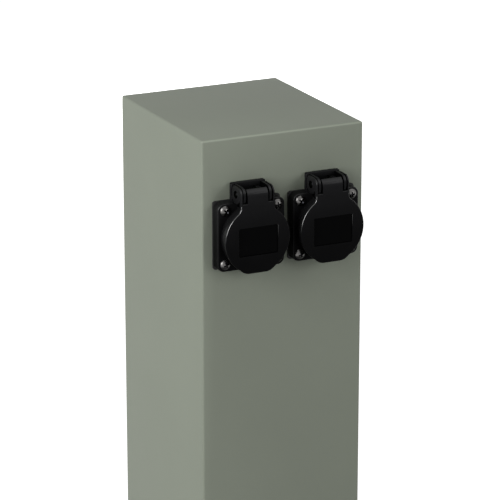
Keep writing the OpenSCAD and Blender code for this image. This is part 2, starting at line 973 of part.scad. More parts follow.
module clamp_screws(side) {
    color(STEEL)
        at_socket(side)
            for (p = [[-pin_hole_pitch / 2, 0], [pin_hole_pitch / 2, 0], [0, -earth_drop]])
                translate([p[0], p[1], carrier_back])
                    mirror([0, 0, 1])
                        slotted_screw(clamp_screw_d, clamp_screw_len, clamp_head_d, clamp_head_h);
}

module insert_screw(side) {
    color(STEEL)
        at_socket(side)
            translate([0, 0, well_floor - insert_head_h])
                slotted_screw(
                    insert_screw_d, insert_screw_len - insert_t + insert_head_h, insert_head_d, insert_head_h
                );
}

// Round-headed flange screws with a cross drive
module flange_screws(side) {
    color(STEEL)
        at_socket(side)
            at_flange_screws()
                difference() {
                    union() {
                        translate([0, 0, screw_seat_z])
                            screw_dome(screw_head_d, screw_head_h, shoulder_h);
                        translate([0, 0, screw_end])
                            cylinder(d = screw_d, h = screw_seat_z - screw_end + shoulder_h);
                    }
                    translate([0, 0, screw_seat_z + screw_head_h - drive_depth]) {
                        block(drive_span, drive_w, drive_depth + cut);
                        block(drive_w, drive_span, drive_depth + cut);
                    }
                }
}

// A low dome on a straight shoulder, standing on z = 0
module screw_dome(d, h, shoulder) {
    rise = h - shoulder;
    ball = (d * d / 4 + rise * rise) / (2 * rise);
    rotate_extrude() {
        square([d / 2, shoulder]);
        intersection() {
            translate([0, h - ball])
                circle(ball);
            square([d / 2, h]);
        }
    }
}

module flange_washers(side) {
    color(STEEL)
        at_socket(side)
            at_flange_screws()
                translate([0, 0, -wall - washer_t])
                    ring(washer_d, screw_d + 2 * fit_gap, washer_t);
}

module flange_nuts(side) {
    color(STEEL)
        at_socket(side)
            at_flange_screws()
                translate([0, 0, -wall - washer_t - nut_t])
                    nut(nut_flats, nut_t, screw_d + 2 * fit_gap);
}

module hinge_pin(side) {
    color(STEEL)
        at_socket(side)
            at_pin()
                cylinder(d = pin_d, h = 2 * pin_half, center = true);
}

// Lid

// Disc with a chin that ends in a straight edge, and a neck blended into it
module lid_outline() {
    disc_r = lid_d / 2;
    reach = disc_r + neck_r;
    blend_x = hinge_half + neck_r;
    blend_y = sqrt(reach * reach - blend_x * blend_x);
    foot_angle = atan2(blend_y, blend_x);
    blend = [
        for (i = [0:blend_steps])
            let (angle = 180 + foot_angle * i / blend_steps)
                [blend_x + neck_r * cos(angle), blend_y + neck_r * sin(angle)]
    ];
    shoulder = [for (p = blend) [-p[0], p[1]]];
    foot = blend[blend_steps] * 0.99;
    intersection() {
        circle(disc_r);
        translate([-disc_r, -lid_chin])
            square([2 * disc_r, 2 * disc_r]);
    }
    translate([0, -lid_chin / 2])
        rounded_rect(chin_w, lid_chin, chin_r);
    polygon(concat(
        [[0, 0], [-foot[0], foot[1]]],
        [for (i = [blend_steps:-1:0]) shoulder[i]],
        [[-hinge_half, pin_rise - slot_drop], [hinge_half, pin_rise - slot_drop]],
        blend,
        [foot]
    ));
}

// Barrel and the strip of lid that runs up to it, seen along the pin. Its flat top stops the open lid
module barrel_outline(corner_r) {
    corner = [pin_rise + barrel_top - corner_r, lid_front - corner_r];
    intersection() {
        translate([pin_rise, pin_out])
            circle(barrel_r);
        square([pin_rise + barrel_top, lid_front]);
    }
    translate([pin_rise, pin_out])
        square([barrel_top, pin_depth - corner_r]);
    intersection() {
        translate(corner)
            circle(corner_r);
        translate(corner)
            square(corner_r);
    }
    translate([pin_rise - slot_drop - cut, lid_back])
        square([corner[0] - pin_rise + slot_drop + cut, lid_t]);
}

module lid(side) {
    color(BLACK)
        at_socket(side)
            difference() {
                union() {
                    translate([0, 0, lid_back])
                        linear_extrude(lid_t)
                            lid_outline();
                    across_pin(-slot_in, slot_in)
                        barrel_outline(knuckle_r);
                    for (x = [-1, 1])
                        across_pin(min(x * slot_out, x * hinge_half), max(x * slot_out, x * hinge_half))
                            barrel_outline(cheek_r);
                }
                for (x = [-1, 1])
                    translate([x * (slot_in + slot_out) / 2, 0, 0])
                        at_pin()
                            cylinder(r = slot_r, h = slot_out - slot_in, center = true);
                at_pin()
                    cylinder(d = pin_d + 2 * run_gap, h = 2 * slot_in + cut, center = true);
                for (x = [-1, 1])
                    translate([x * (slot_out + hinge_half) / 2, 0, 0])
                        at_pin()
                            cylinder(d = cheek_hole_d, h = cheek_t + 2 * slide_gap, center = true);
                spring_pocket();
                translate([panel_shift, -panel_drop, lid_front - panel_depth])
                    block(panel_w, panel_h, panel_depth + cut);
                translate([0, 0, lid_back - cut])
                    ring(2 * (seal_out + groove_gap), 2 * (seal_in - groove_gap), seal_groove + cut);
            }
}

// Room behind the knuckle's curled front, and for the spring in its middle, open above and behind
module spring_pocket() {
    shelf_half = slot_in + knuckle_gap;
    at_pin()
        cylinder(r = pocket_r, h = 2 * pocket_half, center = true);
    translate([-pocket_half, pin_rise - cut, pin_out - barrel_r - cut])
        cube([2 * pocket_half, barrel_r + 2 * cut, barrel_r + cut + pocket_front]);
    translate([-shelf_half, pin_rise + shelf_rise, pin_out - barrel_r - cut])
        cube([2 * shelf_half, barrel_r, barrel_r + cut + spring_foot + foot_room]);
    translate([-spring_half - spring_notch, pin_rise + spring_d / 2 - spring_notch, pin_out])
        cube([2 * spring_notch, 2 * spring_notch, spring_foot + foot_room]);
}

module lid_seal(side) {
    color(RUBBER)
        at_socket(side)
            translate([0, 0, rim + seal_air])
                ring(2 * seal_out, 2 * seal_in, seal_t);
}

// Torsion spring: one leg pushes on the hinge plate and the other on the lid
function spring_turn_point(i) =
    let (share = i / (spring_turns * turn_rings), angle = 90 + 360 * spring_turns * share)
        [
            -spring_half + 2 * spring_half * share,
            pin_rise + spring_d / 2 * sin(angle),
            pin_out + spring_d / 2 * cos(angle),
        ];
function spring_points() = concat(
    [spring_turn_point(0) + [0, 0, spring_foot], spring_turn_point(0) + [0, 0, spring_foot / 2]],
    [for (i = [0:spring_turns * turn_rings]) spring_turn_point(i)],
    [
        [spring_half, pin_rise + spring_d / 2, (pin_out + gasket_t + hinge_plate_t) / 2],
        [spring_half, pin_rise + spring_d / 2, gasket_t + hinge_plate_t + fit_gap],
    ]
);

module hinge_spring(side) {
    color(STEEL)
        at_socket(side)
            tube(spring_points(), spring_wire, spring_sides, [1, 0, 0]);
}

spring_line = spring_points();
spring_gap = min([
    for (i = [0:len(spring_line) - 1], j = [i + turn_rings - 2:1:len(spring_line) - 1])
        norm(spring_line[i] - spring_line[j])
]) - spring_wire;
echo(str("least gap between the turns of a hinge spring: ", spring_gap, " mm"));

column();
top_plate();
base_plate();
side_upstands();
terminal_upstand();
base_screws();
base_nuts();
cable_grommet();
earth_stud();
earth_nut();
earth_lug();
terminal_block();
terminal_bars();
terminal_screws();
block_screws();
live_wires();
neutral_wires();
earth_wires();
flange_gasket(LEFT);  // flange_gasket_left
socket_body(LEFT);  // socket_body_left
socket_insert(LEFT);  // socket_insert_left
contact_carrier(LEFT);  // contact_carrier_left
line_contacts(LEFT);  // line_contacts_left
earth_clip(LEFT);  // earth_clip_left
clamp_screws(LEFT);  // clamp_screws_left
insert_screw(LEFT);  // insert_screw_left
flange_screws(LEFT);  // flange_screws_left
flange_washers(LEFT);  // flange_washers_left
flange_nuts(LEFT);  // flange_nuts_left
hinge_pin(LEFT);  // hinge_pin_left
hinge_spring(LEFT);  // hinge_spring_left
lid(LEFT);  // lid_left
lid_seal(LEFT);  // lid_seal_left
flange_gasket(RIGHT);  // flange_gasket_right
socket_body(RIGHT);  // socket_body_right
socket_insert(RIGHT);  // socket_insert_right
contact_carrier(RIGHT);  // contact_carrier_right
line_contacts(RIGHT);  // line_contacts_right
earth_clip(RIGHT);  // earth_clip_right
clamp_screws(RIGHT);  // clamp_screws_right
insert_screw(RIGHT);  // insert_screw_right
flange_screws(RIGHT);  // flange_screws_right
flange_washers(RIGHT);  // flange_washers_right
flange_nuts(RIGHT);  // flange_nuts_right
hinge_pin(RIGHT);  // hinge_pin_right
hinge_spring(RIGHT);  // hinge_spring_right
lid(RIGHT);  // lid_right
lid_seal(RIGHT);  // lid_seal_right
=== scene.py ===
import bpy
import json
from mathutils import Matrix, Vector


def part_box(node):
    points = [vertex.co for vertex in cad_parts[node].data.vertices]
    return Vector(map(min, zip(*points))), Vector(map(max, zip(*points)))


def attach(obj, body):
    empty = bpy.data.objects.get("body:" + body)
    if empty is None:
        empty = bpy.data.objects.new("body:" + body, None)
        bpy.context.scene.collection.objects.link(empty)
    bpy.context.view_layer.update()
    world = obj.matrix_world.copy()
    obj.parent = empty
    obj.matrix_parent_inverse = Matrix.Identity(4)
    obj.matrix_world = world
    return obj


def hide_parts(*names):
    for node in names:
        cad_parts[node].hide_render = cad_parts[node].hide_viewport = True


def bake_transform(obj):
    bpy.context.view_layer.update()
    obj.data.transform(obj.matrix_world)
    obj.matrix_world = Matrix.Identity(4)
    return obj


bl_info = {
    "name": "Garden Socket Post",
    "version": (1, 0, 0),
    "blender": (4, 5, 0),
    "location": "3D View > Sidebar > Socket Post",
    "description": "Dresses a garden socket post: its coated column, lidded sockets, screws and leads",
    "category": "Object",
}

import json
import math
from contextlib import contextmanager

import bmesh
import bpy
from mathutils import Vector

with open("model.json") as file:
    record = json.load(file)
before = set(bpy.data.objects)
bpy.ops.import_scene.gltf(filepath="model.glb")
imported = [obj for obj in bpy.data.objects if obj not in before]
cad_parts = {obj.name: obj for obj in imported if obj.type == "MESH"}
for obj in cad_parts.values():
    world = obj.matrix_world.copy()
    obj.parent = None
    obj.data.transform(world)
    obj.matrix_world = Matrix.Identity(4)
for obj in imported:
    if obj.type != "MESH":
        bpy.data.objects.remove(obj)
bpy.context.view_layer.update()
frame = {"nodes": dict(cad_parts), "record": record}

MM = 0.001
X, Y, Z = range(3)
SIDES = ("left", "right")

# How close two places count as the same, and how close a place lies on a plane
SAME = 1e-6
NEAR = 10 * SAME

# Sides of large, middling and small rounds
ROUND_STEPS, SEAT_STEPS, HOLE_STEPS = 96, 64, 48

# The most sides of a sliver that is filled, and the width below which a sliver closes up
SLIVER_SIDES, SLIVER_WIDTH = 4, 0.01 * MM

# Largest angle between faces that is shaded smooth, in degrees, on a piece and on a wire
SMOOTH_ANGLE, WIRE_SMOOTH_ANGLE = 35, 50

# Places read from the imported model
COLUMN_LOW, COLUMN_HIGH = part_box("column")
TOP_LOW, TOP_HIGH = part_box("top_plate")
GASKET_LOW, GASKET_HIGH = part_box("flange_gasket_left")
PIN_LOW, PIN_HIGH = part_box("hinge_pin_left")
SEAL_LOW, SEAL_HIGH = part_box("lid_seal_left")
SCREWS_LOW, SCREWS_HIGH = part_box("flange_screws_left")
INSERT_LOW, INSERT_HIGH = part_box("socket_insert_left")
BODY_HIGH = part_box("socket_body_left")[1]
FIXINGS_LOW, FIXINGS_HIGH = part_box("base_screws")

# The left socket's middle on the post's face, and the step to the right socket
CENTRE = Vector(((INSERT_LOW.x + INSERT_HIGH.x) / 2, GASKET_HIGH.y, (INSERT_LOW.z + INSERT_HIGH.z) / 2))
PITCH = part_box("flange_gasket_right")[0].x - GASKET_LOW.x

# Heights above the socket's middle and distances out of the post's face
PIN_UP = (PIN_LOW.z + PIN_HIGH.z) / 2 - CENTRE.z
PIN_OUT = CENTRE.y - (PIN_LOW.y + PIN_HIGH.y) / 2
FLANGE_UP = (GASKET_LOW.z + GASKET_HIGH.z) / 2 - CENTRE.z
GASKET_HALF = (GASKET_HIGH - GASKET_LOW) / 2
GASKET_OUT = CENTRE.y - GASKET_LOW.y
INSERT_BACK = CENTRE.y - INSERT_HIGH.y
INSERT_FRONT = CENTRE.y - INSERT_LOW.y
SHROUD_BACK = CENTRE.y - BODY_HIGH.y
SEAL_BACK = CENTRE.y - SEAL_HIGH.y
SEAL_FRONT = CENTRE.y - SEAL_LOW.y
SCREW_TIP = CENTRE.y - SCREWS_HIGH.y
SCREW_TOP = CENTRE.y - SCREWS_LOW.y

# Height of the foot's screws
FIXING_HEIGHT = (FIXINGS_LOW.z + FIXINGS_HIGH.z) / 2

# Heights below and above the socket's middle between which painted light makes its plastic paler towards its
# top, and the height above the middle up to which a rim's painted sheen grows
TOP_LIGHT_BELOW, TOP_LIGHT_ABOVE = 26 * MM, 34 * MM
RIM_SHEEN_ABOVE = 12 * MM

# Distances out of the post between which the plastic's painted sheen grows
SHEEN_FROM, SHEEN_TO = 5 * MM, 9 * MM

# How much coat the plastic gets: an even gloss all over, and a painted sheen at the hinge and at the right
# of a lid's rim
LEAST_POLISH, HINGE_SHEEN, RIGHT_RIM_SHEEN = 0.1, 0.48, 0.6

# How far a face looks to the side, of 1, to count as turned sideways
SIDEWAYS = 0.5


def length(name, description, millimetres):
    """A size that the sidebar shows, given here in millimetres."""
    return bpy.props.FloatProperty(
        name=name, description=description, default=millimetres * MM, unit="LENGTH", precision=5
    )


def colour(name, description, red, green, blue):
    """A finish's colour, in linear light."""
    return bpy.props.FloatVectorProperty(
        name=name, description=description, default=(red, green, blue), subtype="COLOR", min=0, max=1
    )


def degrees(name, description, value):
    """An angle that the sidebar shows in degrees."""
    return bpy.props.FloatProperty(
        name=name, description=description, default=math.radians(value), subtype="ANGLE"
    )


def amount(name, description, value):
    """A plain number."""
    return bpy.props.FloatProperty(name=name, description=description, default=value, precision=3)


class PostSizes(bpy.types.PropertyGroup):
    """Sizes of the column."""

    wall: length("Wall", "Thickness of the column's sheet metal", 2.5)
    edge: length("Edge radius", "Radius of the column's outer edges", 1.5)
    cutout: length("Cut-out", "Diameter of each socket's cut-out", 43)
    fixing_hole: length("Fixing hole", "Diameter of the holes for the foot's screws", 5.5)


class SocketSizes(bpy.types.PropertyGroup):
    """Sizes of a socket's moulding and of the floor of its well."""

    flange: length("Flange thickness", "Thickness of the square flange", 7.7)
    gasket_lip: length("Gasket lip", "How far the gasket shows around the flange", 0.15)
    corner: length("Flange corner", "Radius of the flange's corners", 5)
    flange_edge: length("Flange edge", "Rounding of the flange's front edge", 0.8)
    collar: length("Collar radius", "Outer radius of the collar", 22.8)
    collar_height: length("Collar height", "Height of the collar in front of the flange", 6.7)
    collar_edge: length("Collar edge", "Rounding of the collar's rim", 0.5)
    well: length("Well radius", "Inner radius of the well", 19.7)
    shroud: length("Shroud radius", "Outer radius of the shroud behind the flange", 21)
    ledge: length("Ledge", "Width of the ledge behind the well's floor", 2.2)
    ledge_thickness: length("Ledge thickness", "Thickness of the ledge behind the well's floor", 2)
    rib_width: length("Rib width", "Width of the guide ribs", 4.4)
    rib_depth: length("Rib depth", "How far the guide ribs stand into the well", 2.4)
    rib_setback: length("Rib setback", "How far the guide ribs stop behind the rim", 1)
    floor_gap: length("Floor gap", "Gap around the floor of the well", 0.1)
    pin_hole: length("Pin hole", "Diameter of the two pin holes", 5.5)
    pin_pitch: length("Pin pitch", "Distance between the two pin holes", 19)
    pin_lead: length("Pin lead", "Rounding at the mouth of the pin holes", 0.5)
    clip_slot_width: length("Clip slot width", "Width of the earth clip's slots", 5.6)
    clip_slot: length("Clip slot", "Opening of the earth clip's slots", 1.4)
    clip_slot_place: length("Clip slot place", "Distance of the slots from the middle", 16.6)
    head_recess: length("Head recess", "Diameter of the middle screw's recess", 6.1)
    head_recess_depth: length("Head recess depth", "Depth of the middle screw's recess", 1.6)
    screw_bore: length("Screw bore", "Diameter of the middle screw's hole", 3.5)


class HingeSizes(bpy.types.PropertyGroup):
    """Sizes of the hinge and its spring."""

    barrel: length("Barrel radius", "Radius of the lid's hinge barrel below and behind the pin", 6.6)
    barrel_top: length("Barrel top", "Height of the barrel's flat top above the pin", 5.7)
    knuckle_corner: length("Knuckle corner", "Radius of the knuckle's upper front corner", 6.5)
    cheek_corner: length("Cheek corner", "Radius of the upper front corner of the cheeks and ears", 5)
    knuckle: length("Knuckle", "Width of the lid's middle knuckle", 15.6)
    knuckle_gap: length("Knuckle gap", "Gap between an ear and the knuckle", 0.8)
    ear: length("Ear", "Width of each fixed ear", 2.1)
    ear_gap: length("Ear gap", "Gap between an ear and the lid's cheek", 0.5)
    ear_radius: length("Ear radius", "Radius of the fixed ears below and in front of the pin", 9)
    ear_setback: length("Ear setback", "How far the ears stop behind the lid's front", 0.4)
    ear_foot: length("Ear foot", "Height of the ear's foot above the socket's middle", 19.85)
    plate_top: length("Hinge plate top", "How far the hinge plate reaches above the pin", 6.4)
    cheek: length("Cheek", "Thickness of the lid's outer cheeks", 1.2)
    slot_drop: length("Slot drop", "How far the ears' slots reach below the pin", 4.8)
    slot_radius: length("Slot radius", "Radius of the room for an ear", 9.3)
    plate: length("Hinge plate", "Thickness of the hinge plate", 2.9)
    plate_side: length("Hinge plate side", "How far the hinge plate stands past the barrel", 0.3)
    plate_corner: length("Hinge plate corner", "Radius of the hinge plate's upper corners", 1)
    relief: length("Relief", "Radius cut out of the flange and hinge plate around the barrel", 6.9)
    edge: length("Edge", "Rounding of the barrel's and ears' rims", 0.4)
    pin: length("Pin", "Diameter of the hinge pin", 3)
    bore_room: length("Bore room", "Gap around the pin in the knuckle", 0.08)
    cheek_hole: length("Cheek hole", "Diameter of the holes around the pin's ends", 5.4)
    pocket_half: length("Pocket", "Half the width of the spring's pocket", 4.6)
    pocket_radius: length("Pocket radius", "Radius of the spring's pocket", 3.9)
    pocket_front: length("Pocket front", "How far the pocket's opening reaches past the pin", 3.6)
    shelf: length("Shelf", "Height above the pin of the shelf behind the knuckle's curled front", 2.4)
    wire: length("Spring wire", "Diameter of the spring's wire", 0.9)
    coil: length("Spring coil", "Diameter of the coil at the middle of its wire", 5.5)
    coil_pitch: length("Spring pitch", "Distance from one turn to the next", 1.4)
    turns: bpy.props.IntProperty(name="Spring turns", description="Turns of the spring", default=5)
    foot: length("Spring foot", "Length of the spring's front leg", 6.05)
    foot_room: length("Foot room", "Gap in front of the spring's front leg", 0.15)


class LidSizes(bpy.types.PropertyGroup):
    """Sizes of a lid."""

    radius: length("Disc radius", "Radius of the lid's disc", 24.1)
    thickness: length("Thickness", "Thickness of the lid's disc", 3)
    chin: length("Chin", "Distance from the middle to the straight lower edge", 23.6)
    chin_width: length("Chin width", "Width of the chin that ends in this edge", 30)
    chin_corner: length("Chin corner", "Radius of the chin's corners", 9)
    edge: length("Edge", "Rounding of the lid's front edge", 0.6)
    back_edge: length("Back edge", "Rounding of the lid's back edge", 0.3)
    neck_blend: length("Neck blend", "Radius between the neck and the disc", 5)
    panel_width: length("Panel width", "Width of the sunk panel", 29.2)
    panel_height: length("Panel height", "Height of the sunk panel", 19.7)
    panel_drop: length("Panel drop", "Distance of the panel's middle below the lid's", 1)
    panel_shift: length("Panel shift", "Distance of the panel's middle to the right of the lid's", 0.5)
    panel_depth: length("Panel depth", "Depth of the sunk panel", 1)
    panel_corner: length("Panel corner", "Radius of the sunk panel's corners", 0.6)
    panel_edge: length("Panel edge", "Rounding of the sunk panel's edge", 0.35)
    groove_gap: length("Groove gap", "Gap beside the seal in its groove", 0.1)
    groove: length("Groove", "Depth of the seal's groove", 0.8)
    seal_in: length("Seal inside", "Inner radius of the seal", 19.3)
    seal_out: length("Seal outside", "Outer radius of the seal", 22.1)


class ScrewSizes(bpy.types.PropertyGroup):
    """Sizes of the flange screws and of the foot's screws."""

    pitch_x: length("Pitch across", "Distance between two flange screws, across", 39)
    pitch_up: length("Pitch up", "Distance between two flange screws, upwards", 38)
    hole: length("Hole", "Diameter of the flange's screw holes", 4.4)
    seat: length("Seat", "Diameter of the seat of a screw's head", 7.8)
    shank: length("Shank", "Diameter of a flange screw's shank", 3.9)
    head: length("Head", "Diameter of a flange screw's head", 7.4)
    head_height: length("Head height", "Height of a flange screw's head", 2.6)
    shoulder: length("Shoulder", "Height of the head's straight side", 0.78)
    drive: length("Drive", "Span of the cross drive", 5)
    drive_width: length("Drive width", "Width of the cross drive's arms", 1.3)
    drive_depth: length("Drive depth", "Depth of the cross drive", 1.43)
    drive_rise: length("Drive rise", "How far above the head the drive would have its full span", 0.2)
    drive_taper: amount("Drive taper", "Share of the drive's span that is left at its bottom", 0.5)
    fixing_shank: length("Fixing shank", "Diameter of the foot's screws", 5)
    fixing_length: length("Fixing length", "Length of the shanks of the foot's screws", 11.3)
    fixing_head: length("Fixing head", "Diameter of the heads of the foot's screws", 9.5)
    fixing_height: length("Fixing height", "Height of the heads of the foot's screws", 2.75)
    fixing_key: length("Fixing key", "Width of the hexagon in the foot's screws", 3)


class LeadSizes(bpy.types.PropertyGroup):
    """Sizes of the leads inside the post."""

    wire: length("Wire", "Diameter of an insulated wire", 2.8)
    pole_pitch: length("Pole pitch", "Distance between two terminals", 11)
    entry_offset: length("Entry offset", "Height of a line wire's entry beside the clamp screw", 4)
    earth_entry: length("Earth entry", "Distance of an earth wire's entry from the middle", 3.9)
    earth_drop: length("Earth drop", "Depth of the earth clamp below the middle", 11)
    supply_rise: length("Supply rise", "How stiffly a lead leaves the terminals", 150)
    supply_reach: length("Supply reach", "How stiffly a lead reaches the left socket", 90)
    jumper_reach: length("Jumper reach", "How far a lead between the sockets bows back", 40)
    bond_reach: length("Bond reach", "How stiffly the bonding lead leaves its ends", 30)
    lug_barrel: length("Lug barrel", "Diameter of the earth lug's barrel", 5)


class FinishColours(bpy.types.PropertyGroup):
    """Colours of the finishes."""

    sage: colour("Sage", "Powder coat of the post", 0.205, 0.226, 0.183)
    black: colour("Black", "Moulded plastic of the sockets", 0.003, 0.003, 0.0032)
    panel: colour("Panel", "Smooth panel in the lids", 0.001, 0.001, 0.0011)
    rubber: colour("Rubber", "Gaskets, seals and grommet", 0.012, 0.012, 0.012)
    steel: colour("Steel", "Bright screws", 0.115, 0.112, 0.109)
    # The blued steel is also put in the screws' drives as painted shade, and on the hinge pins partly as
    # painted shade on their ends
    blued: colour("Blued steel", "Hinge pins and springs, and the screws' drives", 0.015, 0.015, 0.017)
    zinc: colour("Zinc", "Zinc-coated foot", 0.5, 0.51, 0.53)
    brass: colour("Brass", "Contacts and terminals", 0.68, 0.5, 0.22)
    nylon: colour("Nylon", "Terminal block and contact carriers", 0.66, 0.66, 0.61)
    brown: colour("Brown", "Live wires", 0.08, 0.03, 0.014)
    blue: colour("Blue", "Neutral wires", 0.02, 0.06, 0.3)
    green: colour("Green", "Earth wires", 0.07, 0.22, 0.03)
    yellow: colour("Yellow", "Stripe of the earth wires", 0.65, 0.5, 0.03)


class StageSettings(bpy.types.PropertyGroup):
    """Camera, lamps and floor."""

    azimuth: degrees("Azimuth", "Camera's turn round the post", -25.44)
    elevation: degrees("Elevation", "Camera's height above the horizon", 17.74)
    distance: length("Distance", "Camera's distance from what it looks at", 1921)
    focal: amount("Focal length", "Focal length of the lens, in millimetres", 202.5)
    sensor: amount("Sensor", "Width of the picture behind the lens, in millimetres", 36)
    look_x: length("Look x", "Where the camera looks, from side to side", -25)
    look_y: length("Look y", "Where the camera looks, from front to back", -68.5)
    look_z: length("Look z", "Where the camera looks, upwards", 319)
    world: amount("World", "Strength of the even light all round", 0.31)
    side_lamp: amount("Side lamp", "Power of the lamp at the left", 40)
    right_lamp: amount("Right lamp", "Power of the lamp in front at the right", 30)
    top_lamp: amount("Top lamp", "Power of the lamp overhead", 0.6)
    back_lamp: amount("Back lamp", "Power of the small lamp low behind the post", 32)
    floor: colour("Floor", "Colour of the floor", 0.4, 0.4, 0.4)
    floor_glow: amount("Floor glow", "What lifts the floor to white where it is seen", 0.91)
    floor_size: length("Floor size", "Side of the square floor", 14000)


class SocketPostSettings(bpy.types.PropertyGroup):
    """All that a user can change."""

    post: bpy.props.PointerProperty(type=PostSizes)
    socket: bpy.props.PointerProperty(type=SocketSizes)
    hinge: bpy.props.PointerProperty(type=HingeSizes)
    lid: bpy.props.PointerProperty(type=LidSizes)
    screw: bpy.props.PointerProperty(type=ScrewSizes)
    lead: bpy.props.PointerProperty(type=LeadSizes)
    colours: bpy.props.PointerProperty(type=FinishColours)
    stage: bpy.props.PointerProperty(type=StageSettings)


def settings():
    """The settings of the open scene."""
    return bpy.context.scene.socket_post


# Modelling by hand


def at(x, up, out):
    """A point in the left socket's own frame: to the right, upwards and out of the post."""
    return CENTRE + Vector((x, -out, up))


def in_socket(place):
    """How far a point lies to the right of the left socket's middle, above it and out of the post."""
    x, y, z = place - CENTRE
    return x, z, -y


def select_only(*pieces):
    """Leaves edit mode and selects these pieces alone."""
    if bpy.context.mode != "OBJECT":
        bpy.ops.object.mode_set(mode="OBJECT")
    bpy.ops.object.select_all(action="DESELECT")
    for piece in pieces:
        piece.select_set(True)
    bpy.context.view_layer.objects.active = pieces[0] if pieces else None


@contextmanager
def editing(piece):
    """Opens a piece in edit mode with nothing selected, and closes it again."""
    select_only(piece)
    bpy.ops.object.mode_set(mode="EDIT")
    bpy.ops.mesh.select_mode(type="VERT")
    bpy.ops.mesh.select_all(action="DESELECT")
    yield piece.data
    bpy.ops.object.mode_set(mode="OBJECT")


def settle():
    """Puts the active piece's place into its mesh."""
    bpy.ops.object.transform_apply(location=True, rotation=True, scale=True)


def add_block(corner, opposite):
    """Adds a box between two corners."""
    select_only()
    bpy.ops.mesh.primitive_cube_add(size=1, location=(corner + opposite) / 2)
    block = bpy.context.object
    block.scale = [abs(side) for side in opposite - corner]
    settle()
    return block


def add_rod(start, end, radius, sides=ROUND_STEPS):
    """Adds a round rod from one point to another."""
    select_only()
    run = end - start
    bpy.ops.mesh.primitive_cylinder_add(
        vertices=sides, radius=radius, depth=run.length, location=(start + end) / 2,
        rotation=run.to_track_quat("Z", "Y").to_euler(),
    )
    rod = bpy.context.object
    settle()
    return rod


def draw_line(points, closed=False, filled=False):
    """Draws a line of edges from point to point, as by extruding one corner after another."""
    select_only()
    bpy.ops.mesh.primitive_plane_add(size=MM, location=points[0])
    line = bpy.context.object
    settle()
    with editing(line) as mesh:
        bpy.ops.mesh.select_all(action="SELECT")
        bpy.ops.mesh.merge(type="CENTER")
        for before, after in zip(points, points[1:]):
            bpy.ops.mesh.extrude_vertices_move(TRANSFORM_OT_translate={"value": after - before})
        if closed:
            ends = points[0], points[-1]
            pick_corners(mesh, lambda place: min((place - end).length for end in ends) < SAME)
            bpy.ops.mesh.edge_face_add()
        if filled:
            bpy.ops.mesh.select_all(action="SELECT")
            bpy.ops.mesh.edge_face_add()
    return line


def extrude_outline(points, push):
    """Makes a solid from a closed outline pushed along a line."""
    solid = draw_line(points, closed=True, filled=True)
    with editing(solid):
        bpy.ops.mesh.select_all(action="SELECT")
        bpy.ops.mesh.extrude_region_move(TRANSFORM_OT_translate={"value": push})
    close_up(solid)
    return solid


def spin_outline(points, middle, axis, closed=False):
    """Makes a round solid from an outline turned about an axis."""
    solid = draw_line(points, closed=closed)
    with editing(solid):
        bpy.ops.mesh.select_all(action="SELECT")
        bpy.ops.mesh.spin(steps=ROUND_STEPS, angle=math.tau, center=middle, axis=axis)
    close_up(solid)
    return solid


def turn_outline(outline, x=0, up=0, closed=False):
    """Turns an outline of radius and distance out about a line that stands out of the post."""
    points = [at(x + radius, up, out) for radius, out in outline]
    return spin_outline(points, at(x, up, 0), (0, 1, 0), closed)


def close_up(solid):
    """Merges a solid's doubled corners, closes the slivers that a cut left and turns its faces outwards."""
    with editing(solid):
        bpy.ops.mesh.select_all(action="SELECT")
        bpy.ops.mesh.remove_doubles(threshold=SAME)
        bpy.ops.mesh.fill_holes(sides=SLIVER_SIDES)
        bpy.ops.mesh.dissolve_degenerate(threshold=SLIVER_WIDTH)
        bpy.ops.mesh.normals_make_consistent(inside=False)


def pick_corners(mesh, test):
    """Selects the corners whose place passes a test."""
    bpy.ops.mesh.select_all(action="DESELECT")
    shape = bmesh.from_edit_mesh(mesh)
    for corner in shape.verts:
        if test(corner.co):
            corner.select_set(True)
    bmesh.update_edit_mesh(mesh)


def pick_edges(mesh, test):
    """Selects the edges whose two ends pass a test."""
    bpy.ops.mesh.select_mode(type="EDGE")
    bpy.ops.mesh.select_all(action="DESELECT")
    shape = bmesh.from_edit_mesh(mesh)
    for edge in shape.edges:
        if test(*(corner.co for corner in edge.verts)):
            edge.select_set(True)
    bmesh.update_edit_mesh(mesh)


def along(axis):
    """A test for edges that run along an axis."""
    return lambda a, b: abs((b - a).normalized()[axis]) > 1 - SAME


def on_plane(axis, place):
    """A test for edges that lie on a plane square to an axis."""
    return lambda a, b: max(abs(a[axis] - place), abs(b[axis] - place)) < NEAR


def at_side(x):
    """A test for edges that lie this far to the right of the left socket's middle."""
    return on_plane(X, at(x, 0, 0).x)


def at_out(out):
    """A test for edges that lie this far out of the post."""
    return on_plane(Y, at(0, 0, out).y)


def round_edges(piece, test, radius, steps=3):
    """Rounds the edges that pass a test."""
    with editing(piece) as mesh:
        pick_edges(mesh, test)
        bpy.ops.mesh.bevel(offset=radius, segments=steps, affect="EDGES")


def combine(piece, operation, tools):
    """Joins tools to a piece, or cuts them out of it, one after another."""
    for tool in tools:
        select_only(piece)
        bpy.ops.object.modifier_add(type="BOOLEAN")
        modifier = piece.modifiers[-1]
        modifier.operation = operation
        modifier.solver = "EXACT"
        modifier.object = tool
        bpy.ops.object.modifier_apply(modifier=modifier.name)
        select_only(tool)
        bpy.ops.object.delete()
    close_up(piece)


def cut(piece, *tools):
    """Cuts tools out of a piece."""
    combine(piece, "DIFFERENCE", tools)


def weld(piece, *tools):
    """Joins tools to a piece as one solid."""
    combine(piece, "UNION", tools)


def shift(piece, step):
    """Moves a piece, mesh and all."""
    select_only(piece)
    bpy.ops.transform.translate(value=step)
    settle()


def copy_of(piece, step=(0, 0, 0)):
    """Copies a piece, with a mesh of its own, and moves the copy."""
    select_only(piece)
    bpy.ops.object.duplicate()
    twin = bpy.context.object
    shift(twin, step)
    return twin


def join(pieces):
    """Makes one object of several."""
    select_only(*pieces)
    bpy.ops.object.join()
    return bpy.context.object


